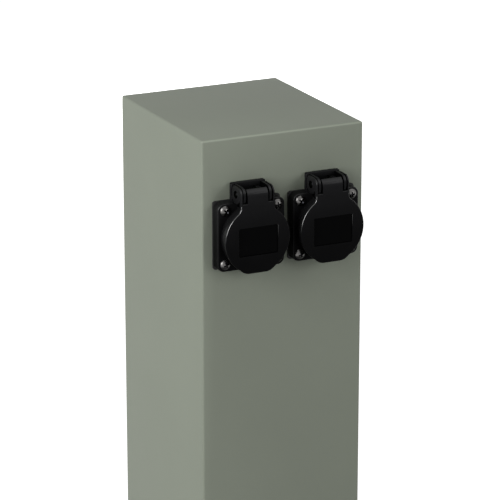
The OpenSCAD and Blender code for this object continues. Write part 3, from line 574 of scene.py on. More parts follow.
def wire_along(points, radius, sides):
    """A round wire along a line of points, as a closed mesh."""
    select_only()
    bpy.ops.curve.primitive_nurbs_path_add()
    wire = bpy.context.object
    wire.data.splines.clear()
    spline = wire.data.splines.new("POLY")
    spline.points.add(len(points) - 1)
    for place, point in zip(points, spline.points):
        point.co = (*place, 1)
    return round_curve(wire, radius, sides)


def round_curve(wire, radius, sides):
    """Gives a curve its thickness and makes it a mesh."""
    wire.data.dimensions = "3D"
    wire.data.bevel_depth = radius
    wire.data.bevel_resolution = sides // 2 - 2
    wire.data.use_fill_caps = True
    select_only(wire)
    bpy.ops.object.convert(target="MESH")
    settle()
    close_up(wire)
    bpy.ops.object.shade_smooth_by_angle(angle=math.radians(WIRE_SMOOTH_ANGLE))
    return wire


def arc(middle, radius, start, end, steps):
    """Points of a flat arc, its angles in degrees."""
    turns = [math.radians(start + (end - start) * step / steps) for step in range(steps + 1)]
    return [(middle[0] + radius * math.cos(turn), middle[1] + radius * math.sin(turn)) for turn in turns]


def complete(piece, name, body, slot, nodes, finish=None, smooth=SMOOTH_ANGLE):
    """Names a piece, gives it its finish, ties it to its body and hides the nodes that it stands for."""
    piece.name = name
    piece.data.name = name
    if not piece.data.materials:
        give(piece, finish or slot)
    select_only(piece)
    bpy.ops.object.shade_smooth_by_angle(angle=math.radians(smooth))
    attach(piece, body)
    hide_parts(*nodes)


def complete_pair(piece, name, body, slot, node, finish=None):
    """Copies a left-hand piece to the right-hand socket and completes both."""
    pair = (piece, copy_of(piece, (PITCH, 0, 0)))
    for side, one in zip(SIDES, pair):
        complete(one, f"{side}_{name}", body.format(side=side), slot, [f"{node}_{side}"], finish)


# Finishes


class Flow:
    """An output of a node, which adds Math nodes when it is used in a sum."""

    def __init__(self, finish, socket):
        self.finish = finish
        self.socket = socket

    def sum(self, operation, first, second):
        """Adds a Math node for two values."""
        return self.finish.node("ShaderNodeMath", {"operation": operation}, {0: first, 1: second})

    def __add__(self, other):
        return self.sum("ADD", self, other)

    def __sub__(self, other):
        return self.sum("SUBTRACT", self, other)

    def __rsub__(self, other):
        return self.sum("SUBTRACT", other, self)

    def __mul__(self, other):
        return self.sum("MULTIPLY", self, other)

    __radd__ = __add__
    __rmul__ = __mul__


class Finish:
    """A node tree that is written as a list of nodes and sums."""

    def __init__(self, tree):
        self.tree = tree
        tree.nodes.clear()

    def node(self, kind, setup=None, inputs=None, output=0):
        """Adds a node, sets it up, feeds its sockets and gives one of its outputs."""
        made = self.tree.nodes.new(kind)
        for name, value in (setup or {}).items():
            setattr(made, name, value)
        for key, value in (inputs or {}).items():
            if isinstance(value, Flow):
                self.tree.links.new(value.socket, made.inputs[key])
            else:
                made.inputs[key].default_value = value
        return Flow(self, made.outputs[output]) if made.outputs else None

    def place(self):
        """The place on the piece, in metres."""
        return self.node("ShaderNodeTexCoord", output="Object")

    def noise(self, scale, detail=2.0, stretch=(1, 1, 1)):
        """Noise with this many grains to the metre."""
        spread = self.node("ShaderNodeMapping", {}, {"Vector": self.place(), "Scale": stretch})
        return self.node("ShaderNodeTexNoise", {}, {"Vector": spread, "Scale": scale, "Detail": detail})

    def cells(self, scale):
        """A random grey for each cell, with this many cells to the metre."""
        inputs = {"Vector": self.place(), "Scale": scale}
        spots = self.node("ShaderNodeTexVoronoi", {"feature": "F1"}, inputs, output="Color")
        return self.node("ShaderNodeSeparateColor", {}, {"Color": spots})

    def blend(self, factor, first, second):
        """A colour between two others."""
        inputs = {0: factor, 6: opaque(first), 7: opaque(second)}
        return self.node("ShaderNodeMix", {"data_type": "RGBA"}, inputs, output=2)

    def part(self, vector, axis):
        """One part of a vector: X, Y or Z."""
        return self.node("ShaderNodeSeparateXYZ", {}, {"Vector": vector}, output=axis)

    def facing(self, axis):
        """How far the surface faces along an axis, from -1 to 1."""
        return self.part(self.node("ShaderNodeTexCoord", output="Normal"), axis)

    def ramp(self, value, low, high):
        """None at a low value, one at a high one."""
        return self.node("ShaderNodeMapRange", {}, {"Value": value, "From Min": low, "From Max": high})

    def climb(self, low, high):
        """None at a low height, one at a high one."""
        return self.ramp(self.part(self.place(), "Z"), low, high)

    def bump(self, height, depth):
        """A surface raised by up to a depth in metres."""
        return self.node("ShaderNodeBump", {}, {"Height": height, "Distance": depth, "Strength": 1.0})

    def surface(self, **sockets):
        """A principled surface as the finish's result."""
        inputs = {}
        for name, value in sockets.items():
            inputs[name.replace("_", " ").title().replace("Ior", "IOR")] = value
        shader = self.node("ShaderNodeBsdfPrincipled", {}, inputs)
        self.node("ShaderNodeOutputMaterial", {}, {"Surface": shader})


def opaque(tone):
    """A colour with full alpha, or a flow as it is."""
    return tone if isinstance(tone, Flow) else (*tone, 1.0)


def shade(tone, share):
    """A colour made lighter or darker."""
    return tuple(min(1.0, part * share) for part in tone)


def powder_coat(finish, colours):
    """Satin powder coat: fine orange peel, finer grain, drifting tone and a painted highlight on its top
    front edge.
    """
    drift = finish.noise(14, detail=3.0)
    grain = finish.noise(2400, detail=3.0)
    peel = finish.noise(620, detail=1.0)
    tone = finish.blend(drift * 0.7 + grain * 0.3, shade(colours.sage, 0.94), shade(colours.sage, 1.06))
    # Painted highlight along the top front edge, where the surface faces both forwards and up
    edge_highlight = finish.facing("Y") * finish.facing("Z") * -2.0
    finish.surface(
        base_color=finish.blend(edge_highlight, tone, shade(colours.sage, 1.45)),
        roughness=0.5 + 0.12 * grain,
        specular_ior_level=0.2,
        normal=finish.bump(peel * 0.7 + grain * 0.3, 0.06 * MM),
    )


def rim_painted_sheen(finish):
    """How much coat a lid's rim gets, as a painted sheen: at its upper left, and less at its right."""
    aside = finish.facing("X")
    left = finish.climb(CENTRE.z, CENTRE.z + RIM_SHEEN_ABOVE) * finish.ramp(aside, 0.2, -0.2)
    return left + RIGHT_RIM_SHEEN * finish.ramp(aside, 0.3, 0.6)


def hinge_painted_sheen(finish):
    """How much coat the other plastic gets: an even gloss, and a painted sheen most where it slants up, well
    out of the post.
    """
    reach = finish.ramp(finish.part(finish.place(), "Y"), CENTRE.y - SHEEN_FROM, CENTRE.y - SHEEN_TO)
    level = finish.facing("Z")
    slant = finish.ramp(level, 0.0, 0.4) * finish.ramp(level, 0.95, 0.55)
    return LEAST_POLISH + HINGE_SHEEN * reach * slant


def black_moulding(finish, colours, rim=False):
    """Black plastic, spark-textured by its mould, made paler towards its top by painted light, with a
    painted sheen at rim or hinge.
    """
    spark = finish.noise(3400, detail=2.0)
    flow = finish.noise(70, detail=3.0)
    # Painted light: paler towards the top and painted shade towards the bottom, mixed with a random tone
    painted_top_light = finish.climb(CENTRE.z - TOP_LIGHT_BELOW, CENTRE.z + TOP_LIGHT_ABOVE)
    pale = painted_top_light * painted_top_light * 0.85 + flow * 0.15
    gloss_and_sheen = rim_painted_sheen(finish) if rim else hinge_painted_sheen(finish)
    # The coat paints a sheen, and it is left off faces that look straight forwards
    finish.surface(
        base_color=finish.blend(pale, shade(colours.black, 0.4), shade(colours.black, 3.9)),
        roughness=0.3 + 0.14 * spark,
        normal=finish.bump(spark, 0.02 * MM),
        specular_ior_level=0.02,
        coat_weight=gloss_and_sheen * finish.ramp(finish.facing("Y"), -0.95, -0.8),
        coat_roughness=0.12 if rim else 0.27,
        coat_ior=2.0 if rim else 1.5,
    )


def smooth_panel(finish, colours):
    """Darker, smoother plastic, for a lid's sunk panel, and as painted shade on the inner faces of the
    hinge.
    """
    haze = finish.noise(240, detail=4.0)
    tone = finish.blend(haze, shade(colours.panel, 0.8), shade(colours.panel, 1.2))
    finish.surface(base_color=tone, roughness=0.16 + 0.1 * haze, specular_ior_level=0.015)


def soft_rubber(finish, colours):
    """Dull rubber with a dusty bloom."""
    bloom = finish.noise(300, detail=4.0)
    pores = finish.noise(5000, detail=1.0)
    tone = finish.blend(bloom, shade(colours.rubber, 0.7), shade(colours.rubber, 1.5))
    finish.surface(
        base_color=tone,
        roughness=0.62 + 0.2 * bloom,
        normal=finish.bump(pores, 0.02 * MM),
        specular_ior_level=0.3,
    )


def drawn_steel(finish, steel, dull=0.14):
    """Steel with fine drawing lines, and painted shade where it faces down."""
    lines = finish.noise(900, detail=3.0, stretch=(1, 1, 6))
    cloud = finish.noise(260, detail=3.0)
    unshaded_tone = finish.blend(cloud, shade(steel, 0.88), shade(steel, 1.08))
    # Painted shade on the faces that look down
    tone = finish.blend(finish.ramp(finish.facing("Z"), -0.05, -0.3), unshaded_tone, shade(steel, 0.1))
    finish.surface(
        base_color=tone, metallic=1.0, roughness=dull + 0.14 * lines, normal=finish.bump(lines, 0.008 * MM)
    )


def zinc_steel(finish, colours):
    """Hot-dipped zinc with its frosty crystals."""
    crystal = finish.cells(110)
    cloud = finish.noise(45, detail=4.0)
    tone = finish.blend(crystal * 0.6 + cloud * 0.4, shade(colours.zinc, 0.72), shade(colours.zinc, 1.18))
    finish.surface(
        base_color=tone, metallic=0.9, roughness=0.34 + 0.22 * crystal, normal=finish.bump(cloud, 0.04 * MM)
    )


def drawn_brass(finish, colours):
    """Brass, a little tarnished."""
    tarnish = finish.noise(180, detail=4.0)
    lines = finish.noise(1200, detail=2.0, stretch=(1, 5, 1))
    tone = finish.blend(tarnish, shade(colours.brass, 0.72), shade(colours.brass, 1.1))
    finish.surface(
        base_color=tone, metallic=1.0, roughness=0.24 + 0.2 * tarnish, normal=finish.bump(lines, 0.008 * MM)
    )


def pale_nylon(finish, colours):
    """Pale moulded nylon."""
    cloud = finish.noise(120, detail=3.0)
    grain = finish.noise(2600, detail=2.0)
    tone = finish.blend(cloud, shade(colours.nylon, 0.94), shade(colours.nylon, 1.04))
    finish.surface(base_color=tone, roughness=0.42 + 0.15 * grain, normal=finish.bump(grain, 0.02 * MM))


def sheath(finish, tone):
    """Soft plastic of a wire's sheath."""
    cloud = finish.noise(220, detail=3.0)
    mixed = finish.blend(cloud, shade(tone, 0.86), shade(tone, 1.1))
    finish.surface(base_color=mixed, roughness=0.36 + 0.14 * cloud)


FINISHES = {
    "sage_coat": powder_coat,
    "black_moulding": black_moulding,
    # The bright rim's coat is a painted sheen
    "bright_rim": lambda finish, colours: black_moulding(finish, colours, rim=True),
    "smooth_panel": smooth_panel,
    "black_rubber": soft_rubber,
    "bright_steel": lambda finish, colours: drawn_steel(finish, colours.steel, dull=0.2),
    "blued_steel": lambda finish, colours: drawn_steel(finish, colours.blued),
    "zinc_steel": zinc_steel,
    "brass": drawn_brass,
    "pale_nylon": pale_nylon,
    "brown_sheath": lambda finish, colours: sheath(finish, colours.brown),
    "blue_sheath": lambda finish, colours: sheath(finish, colours.blue),
    "green_sheath": lambda finish, colours: sheath(finish, colours.green),
    "yellow_stripe": lambda finish, colours: sheath(finish, colours.yellow),
}


def finish_of(name):
    """The material of a finish, made when it is first asked for."""
    made = bpy.data.materials.get(f"{name}_finish")
    if made is None:
        made = bpy.data.materials.new(f"{name}_finish")
        made.use_nodes = True
        FINISHES[name](Finish(made.node_tree), settings().colours)
    return made


def give(piece, finish, test=None):
    """Gives a finish to a piece, and to those of its faces that pass a test."""
    material = finish_of(finish)
    slots = piece.data.materials
    if material.name not in slots:
        slots.append(material)
    if test:
        index = slots.find(material.name)
        for face in piece.data.polygons:
            if test(face):
                face.material_index = index


# Shapes that several pieces share


def flange_screw_places(screw):
    """The four screws of a flange, to the right and upwards."""
    return [(x * screw.pitch_x / 2, FLANGE_UP + up * screw.pitch_up / 2) for x in (-1, 1) for up in (-1, 1)]


def fixing_places():
    """The foot's screws: which side of the column, and how far back."""
    reach = FIXINGS_HIGH.y - settings().screw.fixing_head / 2
    return [(side, back * reach) for side in (-1, 1) for back in (-1, 1)]


def beside_foot(side, back, out, across=0):
    """A point at one of the foot's screws: this far out of the column's side, and across."""
    return Vector((side * (COLUMN_HIGH.x + out), back + across, FIXING_HEIGHT))


def socket_planes():
    """How far the flange's front, the collar's rim and the lid's faces stand out of the post."""
    sizes = settings()
    front = GASKET_OUT + sizes.socket.flange
    lid_back = SEAL_FRONT - sizes.lid.groove
    return front, front + sizes.socket.collar_height, lid_back, lid_back + sizes.lid.thickness


def hinge_spans(hinge):
    """Half the knuckle, an ear's two sides, a cheek's inside and its outside."""
    knuckle = hinge.knuckle / 2
    ear_in = knuckle + hinge.knuckle_gap
    ear_out = ear_in + hinge.ear
    cheek_in = ear_out + hinge.ear_gap
    return knuckle, ear_in, ear_out, cheek_in, cheek_in + hinge.cheek


def pin_rod(half, radius, middle=0.0):
    """A rod along the hinge pin's line."""
    return add_rod(at(middle - half, PIN_UP, PIN_OUT), at(middle + half, PIN_UP, PIN_OUT), radius)


def across_pin(outline, start, end, edge):
    """A solid of an outline seen along the pin, upwards and outwards, with round rims."""
    points = [at(start, up, out) for up, out in outline]
    solid = extrude_outline(points, Vector((end - start, 0, 0)))
    for x in (start, end):
        round_edges(solid, at_side(x), edge)
    return solid


def paint_hinge_shade(piece, reach):
    """Paints shade on the hinge: its inner faces that are turned sideways, and its holes, get the darker,
    smoother finish.
    """
    hinge = settings().hinge
    low, hole = PIN_UP - hinge.ear_radius, hinge.cheek_hole / 2 + NEAR

    def inner(face):
        x, up, out = in_socket(face.center)
        sideways = abs(x) < reach and up > low and abs(face.normal.x) > SIDEWAYS
        return sideways or math.hypot(up - PIN_UP, out - PIN_OUT) < hole

    give(piece, "smooth_panel", inner)


def screw_outline(shank, tip, seat, head, top, ball, point):
    """A domed screw's radii and heights, from a tip that the shares in point narrow and chamfer."""
    narrow, chamfer = point
    lean = math.degrees(math.acos(head / ball))
    outline = [(0, tip), (shank * narrow, tip), (shank, tip + shank * chamfer), (shank, seat), (head, seat)]
    outline += arc((0, top - ball), ball, lean, 90, 10)
    outline[-1] = (0, top)
    return outline


class SOCKETPOST_OT_stage(bpy.types.Operator):
    """Makes the camera, the lamps and the white floor"""

    bl_idname = "socket_post.stage"
    bl_label = "Stage"

    # Each lamp's place and side, in metres
    lamps = {
        "side_lamp": ((-1.8, -0.62, 1.0), 1.3),
        "right_lamp": ((1.8, -2.9, 1.3), 1.5),
        "top_lamp": ((0.5, -0.35, 1.42), 0.8),
        "back_lamp": ((0.7, 1.93, 0.13), 0.25),
    }

    def execute(self, context):
        stage = settings().stage
        context.scene.view_settings.view_transform = "Standard"
        self.add_camera(context, stage)
        for name, (place, size) in self.lamps.items():
            self.add_lamp(name, place, size, getattr(stage, name))
        self.light_world(context, stage)
        self.add_floor(stage)
        return {"FINISHED"}

    def add_camera(self, context, stage):
        """Stands the camera where it looks at the post from the left and above."""
        turn, rise = stage.azimuth, stage.elevation
        back = Vector((math.sin(turn) * math.cos(rise), -math.cos(turn) * math.cos(rise), math.sin(rise)))
        target = Vector((stage.look_x, stage.look_y, stage.look_z))
        select_only()
        bpy.ops.object.camera_add(
            location=target + back * stage.distance, rotation=back.to_track_quat("Z", "Y").to_euler()
        )
        camera = context.object
        camera.data.lens = stage.focal
        camera.data.sensor_width = stage.sensor
        context.scene.camera = camera

    def add_lamp(self, name, place, size, power):
        """Adds a square lamp that is turned to the sockets."""
        aim = Vector((0, COLUMN_LOW.y / 2, CENTRE.z))
        facing = Vector(place) - aim
        select_only()
        bpy.ops.object.light_add(
            type="AREA", location=place, rotation=facing.to_track_quat("Z", "Y").to_euler()
        )
        lamp = bpy.context.object
        lamp.name = name
        lamp.data.size = size
        lamp.data.energy = power

    def seen(self, finish):
        """One for the rays that show the background: to the camera, off metal and through glass."""
        rays = [
            finish.node("ShaderNodeLightPath", output=name)
            for name in ("Is Camera Ray", "Is Glossy Ray", "Is Transmission Ray")
        ]
        return finish.node(
            "ShaderNodeMath", {"operation": "ADD", "use_clamp": True}, {0: rays[0] + rays[1], 1: rays[2]}
        )

    def light_world(self, context, stage):
        """Lights the post evenly all round, and shows white where the background is seen."""
        world = bpy.data.worlds.new("studio")
        world.use_nodes = True
        context.scene.world = world
        finish = Finish(world.node_tree)
        seen = self.seen(finish)
        strength = seen + stage.world * (1 - seen)
        glow = finish.node("ShaderNodeBackground", {}, {"Color": (1, 1, 1, 1), "Strength": strength})
        finish.node("ShaderNodeOutputWorld", {}, {"Surface": glow})

    def add_floor(self, stage):
        """Lays the pale floor, which keeps the post's shadow."""
        select_only()
        bpy.ops.mesh.primitive_plane_add(size=stage.floor_size)
        floor = bpy.context.object
        floor.name = "studio_floor"
        material = bpy.data.materials.new("studio_floor")
        material.use_nodes = True
        finish = Finish(material.node_tree)
        paint = finish.node("ShaderNodeBsdfDiffuse", {}, {"Color": opaque(stage.floor)})
        strength = stage.floor_glow * self.seen(finish)
        lift = finish.node("ShaderNodeEmission", {}, {"Color": (1, 1, 1, 1), "Strength": strength})
        both = finish.node("ShaderNodeAddShader", {}, {0: paint, 1: lift})
        finish.node("ShaderNodeOutputMaterial", {}, {"Surface": both})
        floor.data.materials.append(material)


class SOCKETPOST_OT_post_shell(bpy.types.Operator):
    """Makes the coated column with its top, hollow and cut out for the sockets"""

    bl_idname = "socket_post.post_shell"
    bl_label = "Post Shell"

    def execute(self, context):
        sizes = settings()
        post = sizes.post
        shell = add_block(COLUMN_LOW, TOP_HIGH)
        top = TOP_HIGH.z
        round_edges(shell, lambda a, b: along(Z)(a, b) or on_plane(Z, top)(a, b), post.edge, steps=5)
        inside = Vector((post.wall, post.wall, 0))
        below = Vector((0, 0, -post.wall))
        ceiling = Vector((COLUMN_HIGH.x, COLUMN_HIGH.y, TOP_LOW.z))
        cut(shell, add_block(COLUMN_LOW + inside + below, ceiling - inside))
        cut(shell, *self.socket_holes(sizes), *self.fixing_holes(sizes))
        complete(shell, "post_shell", "post", "sage_coat", ["column", "top_plate"])
        return {"FINISHED"}

    def socket_holes(self, sizes):
        """Rods for the two cut-outs and the flange screws."""
        places = [(0, 0, sizes.post.cutout)]
        places += [(x, up, sizes.screw.hole) for x, up in flange_screw_places(sizes.screw)]
        depth = 2 * sizes.post.wall
        for step in (0, PITCH):
            for x, up, width in places:
                yield add_rod(at(x + step, up, -depth), at(x + step, up, depth), width / 2, SEAT_STEPS)

    def fixing_holes(self, sizes):
        """Rods for the foot's screws."""
        depth = 2 * sizes.post.wall
        for side, back in fixing_places():
            start, end = [beside_foot(side, back, step) for step in (-depth, depth)]
            yield add_rod(start, end, sizes.post.fixing_hole / 2, HOLE_STEPS)


class SOCKETPOST_OT_socket_bodies(bpy.types.Operator):
    """Makes the socket mouldings: flange, collar, well, hinge plate and ears"""

    bl_idname = "socket_post.socket_bodies"
    bl_label = "Socket Bodies"

    def execute(self, context):
        sizes = settings()
        socket, hinge = sizes.socket, sizes.hinge
        front, rim, _, _ = socket_planes()
        body = self.flange(socket, front)
        plate_half = hinge_spans(hinge)[-1] + hinge.plate_side
        weld(body, self.well(socket, front, rim), self.hinge_plate(hinge, plate_half))
        cut(body, pin_rod(plate_half + MM, hinge.relief))
        weld(body, *self.ears(hinge))
        cut(body, pin_rod(plate_half, hinge.pin / 2), *self.screw_seats(sizes.screw, front))
        weld(body, *self.ribs(socket, rim))
        give(body, "black_moulding")
        paint_hinge_shade(body, plate_half - hinge.plate_side)
        complete_pair(body, "socket_moulding", "post", "black_moulding", "socket_body")
        return {"FINISHED"}

    def flange(self, socket, front):
        """The square flange with round corners, edge and a hole for the well."""
        across, up = GASKET_HALF.x - socket.gasket_lip, GASKET_HALF.z - socket.gasket_lip
        flange = add_block(at(-across, FLANGE_UP - up, GASKET_OUT), at(across, FLANGE_UP + up, front))
        round_edges(flange, along(Y), socket.corner, steps=10)
        round_edges(flange, at_out(front), socket.flange_edge, steps=4)
        inner = (socket.well + socket.shroud) / 2
        cut(flange, add_rod(at(0, 0, 0), at(0, 0, front + GASKET_OUT), inner))
        return flange

    def well(self, socket, front, rim):
        """Collar, well, ledge and shroud, turned as one ring."""
        edge = socket.collar_edge
        ledge = socket.well - socket.ledge
        inside = [
            (socket.well, SHROUD_BACK), (socket.well, INSERT_BACK - socket.ledge_thickness),
            (ledge, INSERT_BACK - socket.ledge_thickness), (ledge, INSERT_BACK), (socket.well, INSERT_BACK),
        ]
        lip = arc((socket.well + edge, rim - edge), edge, 180, 90, 4)
        lip += arc((socket.collar - edge, rim - edge), edge, 90, 0, 4)
        tuck = front - edge
        outside = [(socket.collar, tuck), (socket.shroud, tuck), (socket.shroud, SHROUD_BACK)]
        return turn_outline(inside + lip + outside, closed=True)

    def hinge_plate(self, hinge, half):
        """The plate behind the barrel, which stands up from the flange."""
        top, face = PIN_UP + hinge.plate_top, GASKET_OUT + hinge.plate
        plate = add_block(at(-half, hinge.ear_foot, GASKET_OUT), at(half, top, face))
        pin_height = at(0, PIN_UP, 0).z
        round_edges(plate, lambda a, b: along(Y)(a, b) and a.z > pin_height, hinge.plate_corner, steps=5)
        round_edges(plate, at_out(face), hinge.edge)
        return plate

    def ears(self, hinge):
        """The two ears that hold the pin, each with a web back to the plate."""
        _, ear_in, ear_out, _, _ = hinge_spans(hinge)
        face = socket_planes()[-1] - hinge.ear_setback
        top, corner = PIN_UP + hinge.barrel_top, hinge.cheek_corner
        lean = math.degrees(math.asin((face - PIN_OUT) / hinge.ear_radius))
        outline = [(hinge.ear_foot, GASKET_OUT), (hinge.ear_foot, PIN_OUT)]
        outline += arc((PIN_UP, PIN_OUT), hinge.ear_radius, 180, 180 - lean, 24)
        outline += arc((top - corner, face - corner), corner, 90, 0, 16)
        outline += [(top, GASKET_OUT)]
        for start, end in ((-ear_out, -ear_in), (ear_in, ear_out)):
            yield across_pin(outline, start, end, hinge.edge)

    def screw_seats(self, screw, front):
        """Rods for the screws' holes and the seats of their heads."""
        seat = SCREW_TOP - screw.head_height
        for x, up in flange_screw_places(screw):
            past = at(x, up, front + GASKET_OUT)
            yield add_rod(at(x, up, 0), past, screw.hole / 2, HOLE_STEPS)
            yield add_rod(at(x, up, seat), past, screw.seat / 2, SEAT_STEPS)

    def ribs(self, socket, rim):
        """The guide ribs at the well's sides."""
        inner, outer = socket.well - socket.rib_depth, (socket.well + socket.shroud) / 2
        for side in (-1, 1):
            rib = add_block(
                at(side * inner, -socket.rib_width / 2, INSERT_FRONT),
                at(side * outer, socket.rib_width / 2, rim - socket.rib_setback),
            )
            round_edges(rib, at_side(side * inner), socket.collar_edge)
            yield rib


class SOCKETPOST_OT_socket_floors(bpy.types.Operator):
    """Makes the floors of the wells, with pin holes and slots for the earth clip"""

    bl_idname = "socket_post.socket_floors"
    bl_label = "Socket Floors"

    def execute(self, context):
        socket = settings().socket
        radius, bore, recess = socket.well - socket.floor_gap, socket.screw_bore / 2, socket.head_recess / 2
        ledge = INSERT_FRONT - socket.head_recess_depth
        outline = [(bore, INSERT_BACK), (radius, INSERT_BACK), (radius, INSERT_FRONT)]
        outline += [(recess, INSERT_FRONT), (recess, ledge), (bore, ledge)]
        floor = turn_outline(outline, closed=True)
        deep, high = INSERT_BACK - socket.pin_lead, INSERT_FRONT + socket.pin_lead
        holes = [self.pin_hole(socket, side * socket.pin_pitch / 2, deep, high) for side in (-1, 1)]
        slots = [self.clip_slot(socket, side, deep, high) for side in (-1, 1)]
        cut(floor, *holes, *slots)
        complete_pair(floor, "socket_floor", "post", "black_moulding", "socket_insert")
        return {"FINISHED"}

    def pin_hole(self, socket, x, deep, high):
        """A round hole whose mouth opens in a small curve."""
        radius, lead = socket.pin_hole / 2, socket.pin_lead
        mouth = arc((radius + lead, INSERT_FRONT - lead), lead, 180, 90, 5)
        outline = [(0, deep), (radius, deep)] + mouth + [(radius + lead, high), (0, high)]
        return turn_outline(outline, x)

    def clip_slot(self, socket, side, deep, high):
        """The slot that one leg of the earth clip comes through."""
        half, middle = socket.clip_slot_width / 2, side * socket.clip_slot_place
        return add_block(
            at(-half, middle - socket.clip_slot / 2, deep), at(half, middle + socket.clip_slot / 2, high)
        )


class SOCKETPOST_OT_lids(bpy.types.Operator):
    """Makes the round lids with their sunk panel, neck and hinge barrel"""

    bl_idname = "socket_post.lids"
    bl_label = "Lids"

    # How far the faces of the rim that get the painted sheen look forwards, from most to least
    rim_facing = (-0.9, -0.2)

    def execute(self, context):
        sizes = settings()
        lid, hinge = sizes.lid, sizes.hinge
        _, _, back, front = socket_planes()
        knuckle, _, _, cheek_in, cheek_out = hinge_spans(hinge)
        plate = self.plate(lid, hinge, cheek_out, back, front)
        middle = self.barrel_outline(lid, hinge, hinge.knuckle_corner, back, front)
        weld(plate, across_pin(middle, -knuckle, knuckle, hinge.edge))
        outer = self.barrel_outline(lid, hinge, hinge.cheek_corner, back, front)
        for start, end in ((-cheek_out, -cheek_in), (cheek_in, cheek_out)):
            weld(plate, across_pin(outer, start, end, hinge.edge))
        slot_half = (cheek_in - knuckle) / 2
        slots = [pin_rod(slot_half, hinge.slot_radius, side * (knuckle + slot_half)) for side in (-1, 1)]
        holes = [
            pin_rod(hinge.cheek, hinge.cheek_hole / 2, side * (cheek_in + cheek_out) / 2) for side in (-1, 1)
        ]
        past = knuckle + hinge.knuckle_gap
        bore = pin_rod(past, hinge.pin / 2 + hinge.bore_room)
        pocket = self.spring_pocket(hinge, past)
        cut(plate, *slots, *holes, bore, *pocket, self.seal_groove(lid, back))
        self.sink_panel(plate, lid, front)
        self.paint_rim_sheen(plate, lid, cheek_out, PIN_UP - hinge.slot_drop, front)
        paint_hinge_shade(plate, (cheek_in + cheek_out) / 2)
        complete_pair(plate, "lid_moulding", "{side}_lid", "black_moulding", "lid")
        return {"FINISHED"}

    def plate(self, lid, hinge, neck, back, front):
        """The disc with its chin and its neck, rounded at the edges."""
        blend = lid.neck_blend
        blend_x = neck + blend
        blend_up = math.sqrt((lid.radius + blend) ** 2 - blend_x**2)
        foot = math.degrees(math.atan2(blend_up, blend_x))
        right = self.chin(lid)
        leave = math.degrees(math.atan2(right[-1][1], right[-1][0]))
        right += arc((0, 0), lid.radius, leave, foot, 72)[1:]
        right += arc((blend_x, blend_up), blend, 180 + foot, 180, 12)[1:]
        right += [(neck, PIN_UP - hinge.slot_drop)]
        left = [(-x, up) for x, up in reversed(right)]
        plate = extrude_outline([at(x, up, back) for x, up in right + left], Vector((0, back - front, 0)))
        round_edges(plate, at_out(front), lid.edge, steps=4)
        round_edges(plate, at_out(back), lid.back_edge, steps=2)
        return plate

    def chin(self, lid):
        """The chin's right corner, up to where it runs into the disc."""
        middle = Vector((lid.chin_width / 2 - lid.chin_corner, lid.chin_corner - lid.chin))
        away = middle.length
        cosine = (lid.radius**2 - away**2 - lid.chin_corner**2) / (2 * away * lid.chin_corner)
        leave = math.degrees(math.atan2(middle.y, middle.x) + math.acos(cosine))
        return arc(middle, lid.chin_corner, -90, leave, 10)

    def barrel_outline(self, lid, hinge, corner, back, front):
        """The barrel seen along the pin, with the strip that runs down into the neck."""
        low, top = PIN_UP - hinge.slot_drop - lid.thickness / 2, PIN_UP + hinge.barrel_top
        lean_top = math.degrees(math.acos(hinge.barrel_top / hinge.barrel))
        lean_back = math.degrees(math.asin((back - PIN_OUT) / hinge.barrel))
        outline = [(low, back), (low, front)] + arc((top - corner, front - corner), corner, 90, 0, 20)
        return outline + arc((PIN_UP, PIN_OUT), hinge.barrel, -lean_top, -180 - lean_back, 48)

    def spring_pocket(self, hinge, shelf_half):
        """Room behind the knuckle's curled front, and for the spring in its middle."""
        behind, above = PIN_OUT - hinge.barrel - MM, PIN_UP + hinge.barrel + MM
        yield pin_rod(hinge.pocket_half, hinge.pocket_radius)
        yield add_block(
            at(-hinge.pocket_half, PIN_UP - MM, behind),
            at(hinge.pocket_half, above, PIN_OUT + hinge.pocket_front),
        )
        yield add_block(
            at(-shelf_half, PIN_UP + hinge.shelf, behind),
            at(shelf_half, above, PIN_OUT + hinge.foot + hinge.foot_room),
        )

    def seal_groove(self, lid, back):
        """The ring that is cut out for the seal."""
        inner, outer = lid.seal_in - lid.groove_gap, lid.seal_out + lid.groove_gap
        below, floor = back - MM, back + lid.groove
        return turn_outline([(inner, below), (outer, below), (outer, floor), (inner, floor)], closed=True)

    def sink_panel(self, plate, lid, front):
        """Sinks the panel and gives it the smoother finish."""
        floor, margin = front - lid.panel_depth, lid.edge / 2
        left, right = [lid.panel_shift + side * lid.panel_width / 2 for side in (-1, 1)]
        low, high = [side * lid.panel_height / 2 - lid.panel_drop for side in (-1, 1)]
        tool = add_block(at(left, low, floor), at(right, high, front + lid.panel_depth))
        round_edges(tool, along(Y), lid.panel_corner, steps=4)
        cut(plate, tool)

        def over(place):
            x, up, _ = in_socket(place)
            return left - margin < x < right + margin and low - margin < up < high + margin

        def sunk(face):
            _, _, out = in_socket(face.center)
            return over(face.center) and floor - NEAR < out < front - NEAR

        mouth = at_out(front)
        round_edges(plate, lambda a, b: mouth(a, b) and over(a) and over(b), lid.panel_edge)
        give(plate, "black_moulding")
        give(plate, "smooth_panel", sunk)

    def paint_rim_sheen(self, plate, lid, neck, top, front):
        """Gives the round front edge of the disc and the neck its painted sheen."""
        most, least = self.rim_facing

        def on_rim(face):
            x, up, out = in_socket(face.center)
            outer = math.hypot(x, up) > lid.radius - lid.edge or abs(x) > neck - lid.edge
            return outer and up < top - lid.edge and out > front - lid.edge and most < face.normal.y < least

        give(plate, "bright_rim", on_rim)


class SOCKETPOST_OT_lid_seals(bpy.types.Operator):
    """Makes the seals behind the lids, with a soft round lip"""

    bl_idname = "socket_post.lid_seals"
    bl_label = "Lid Seals"

    def execute(self, context):
        lid = settings().lid
        lip = (SEAL_FRONT - SEAL_BACK) / 3
        outline = [(lid.seal_out, SEAL_FRONT), (lid.seal_in, SEAL_FRONT)]
        outline += arc((lid.seal_in + lip, SEAL_BACK + lip), lip, 180, 270, 5)
        outline += arc((lid.seal_out - lip, SEAL_BACK + lip), lip, 270, 360, 5)
        seal = turn_outline(outline, closed=True)
        complete_pair(seal, "lid_seal_ring", "{side}_lid", "black_rubber", "lid_seal")
        return {"FINISHED"}


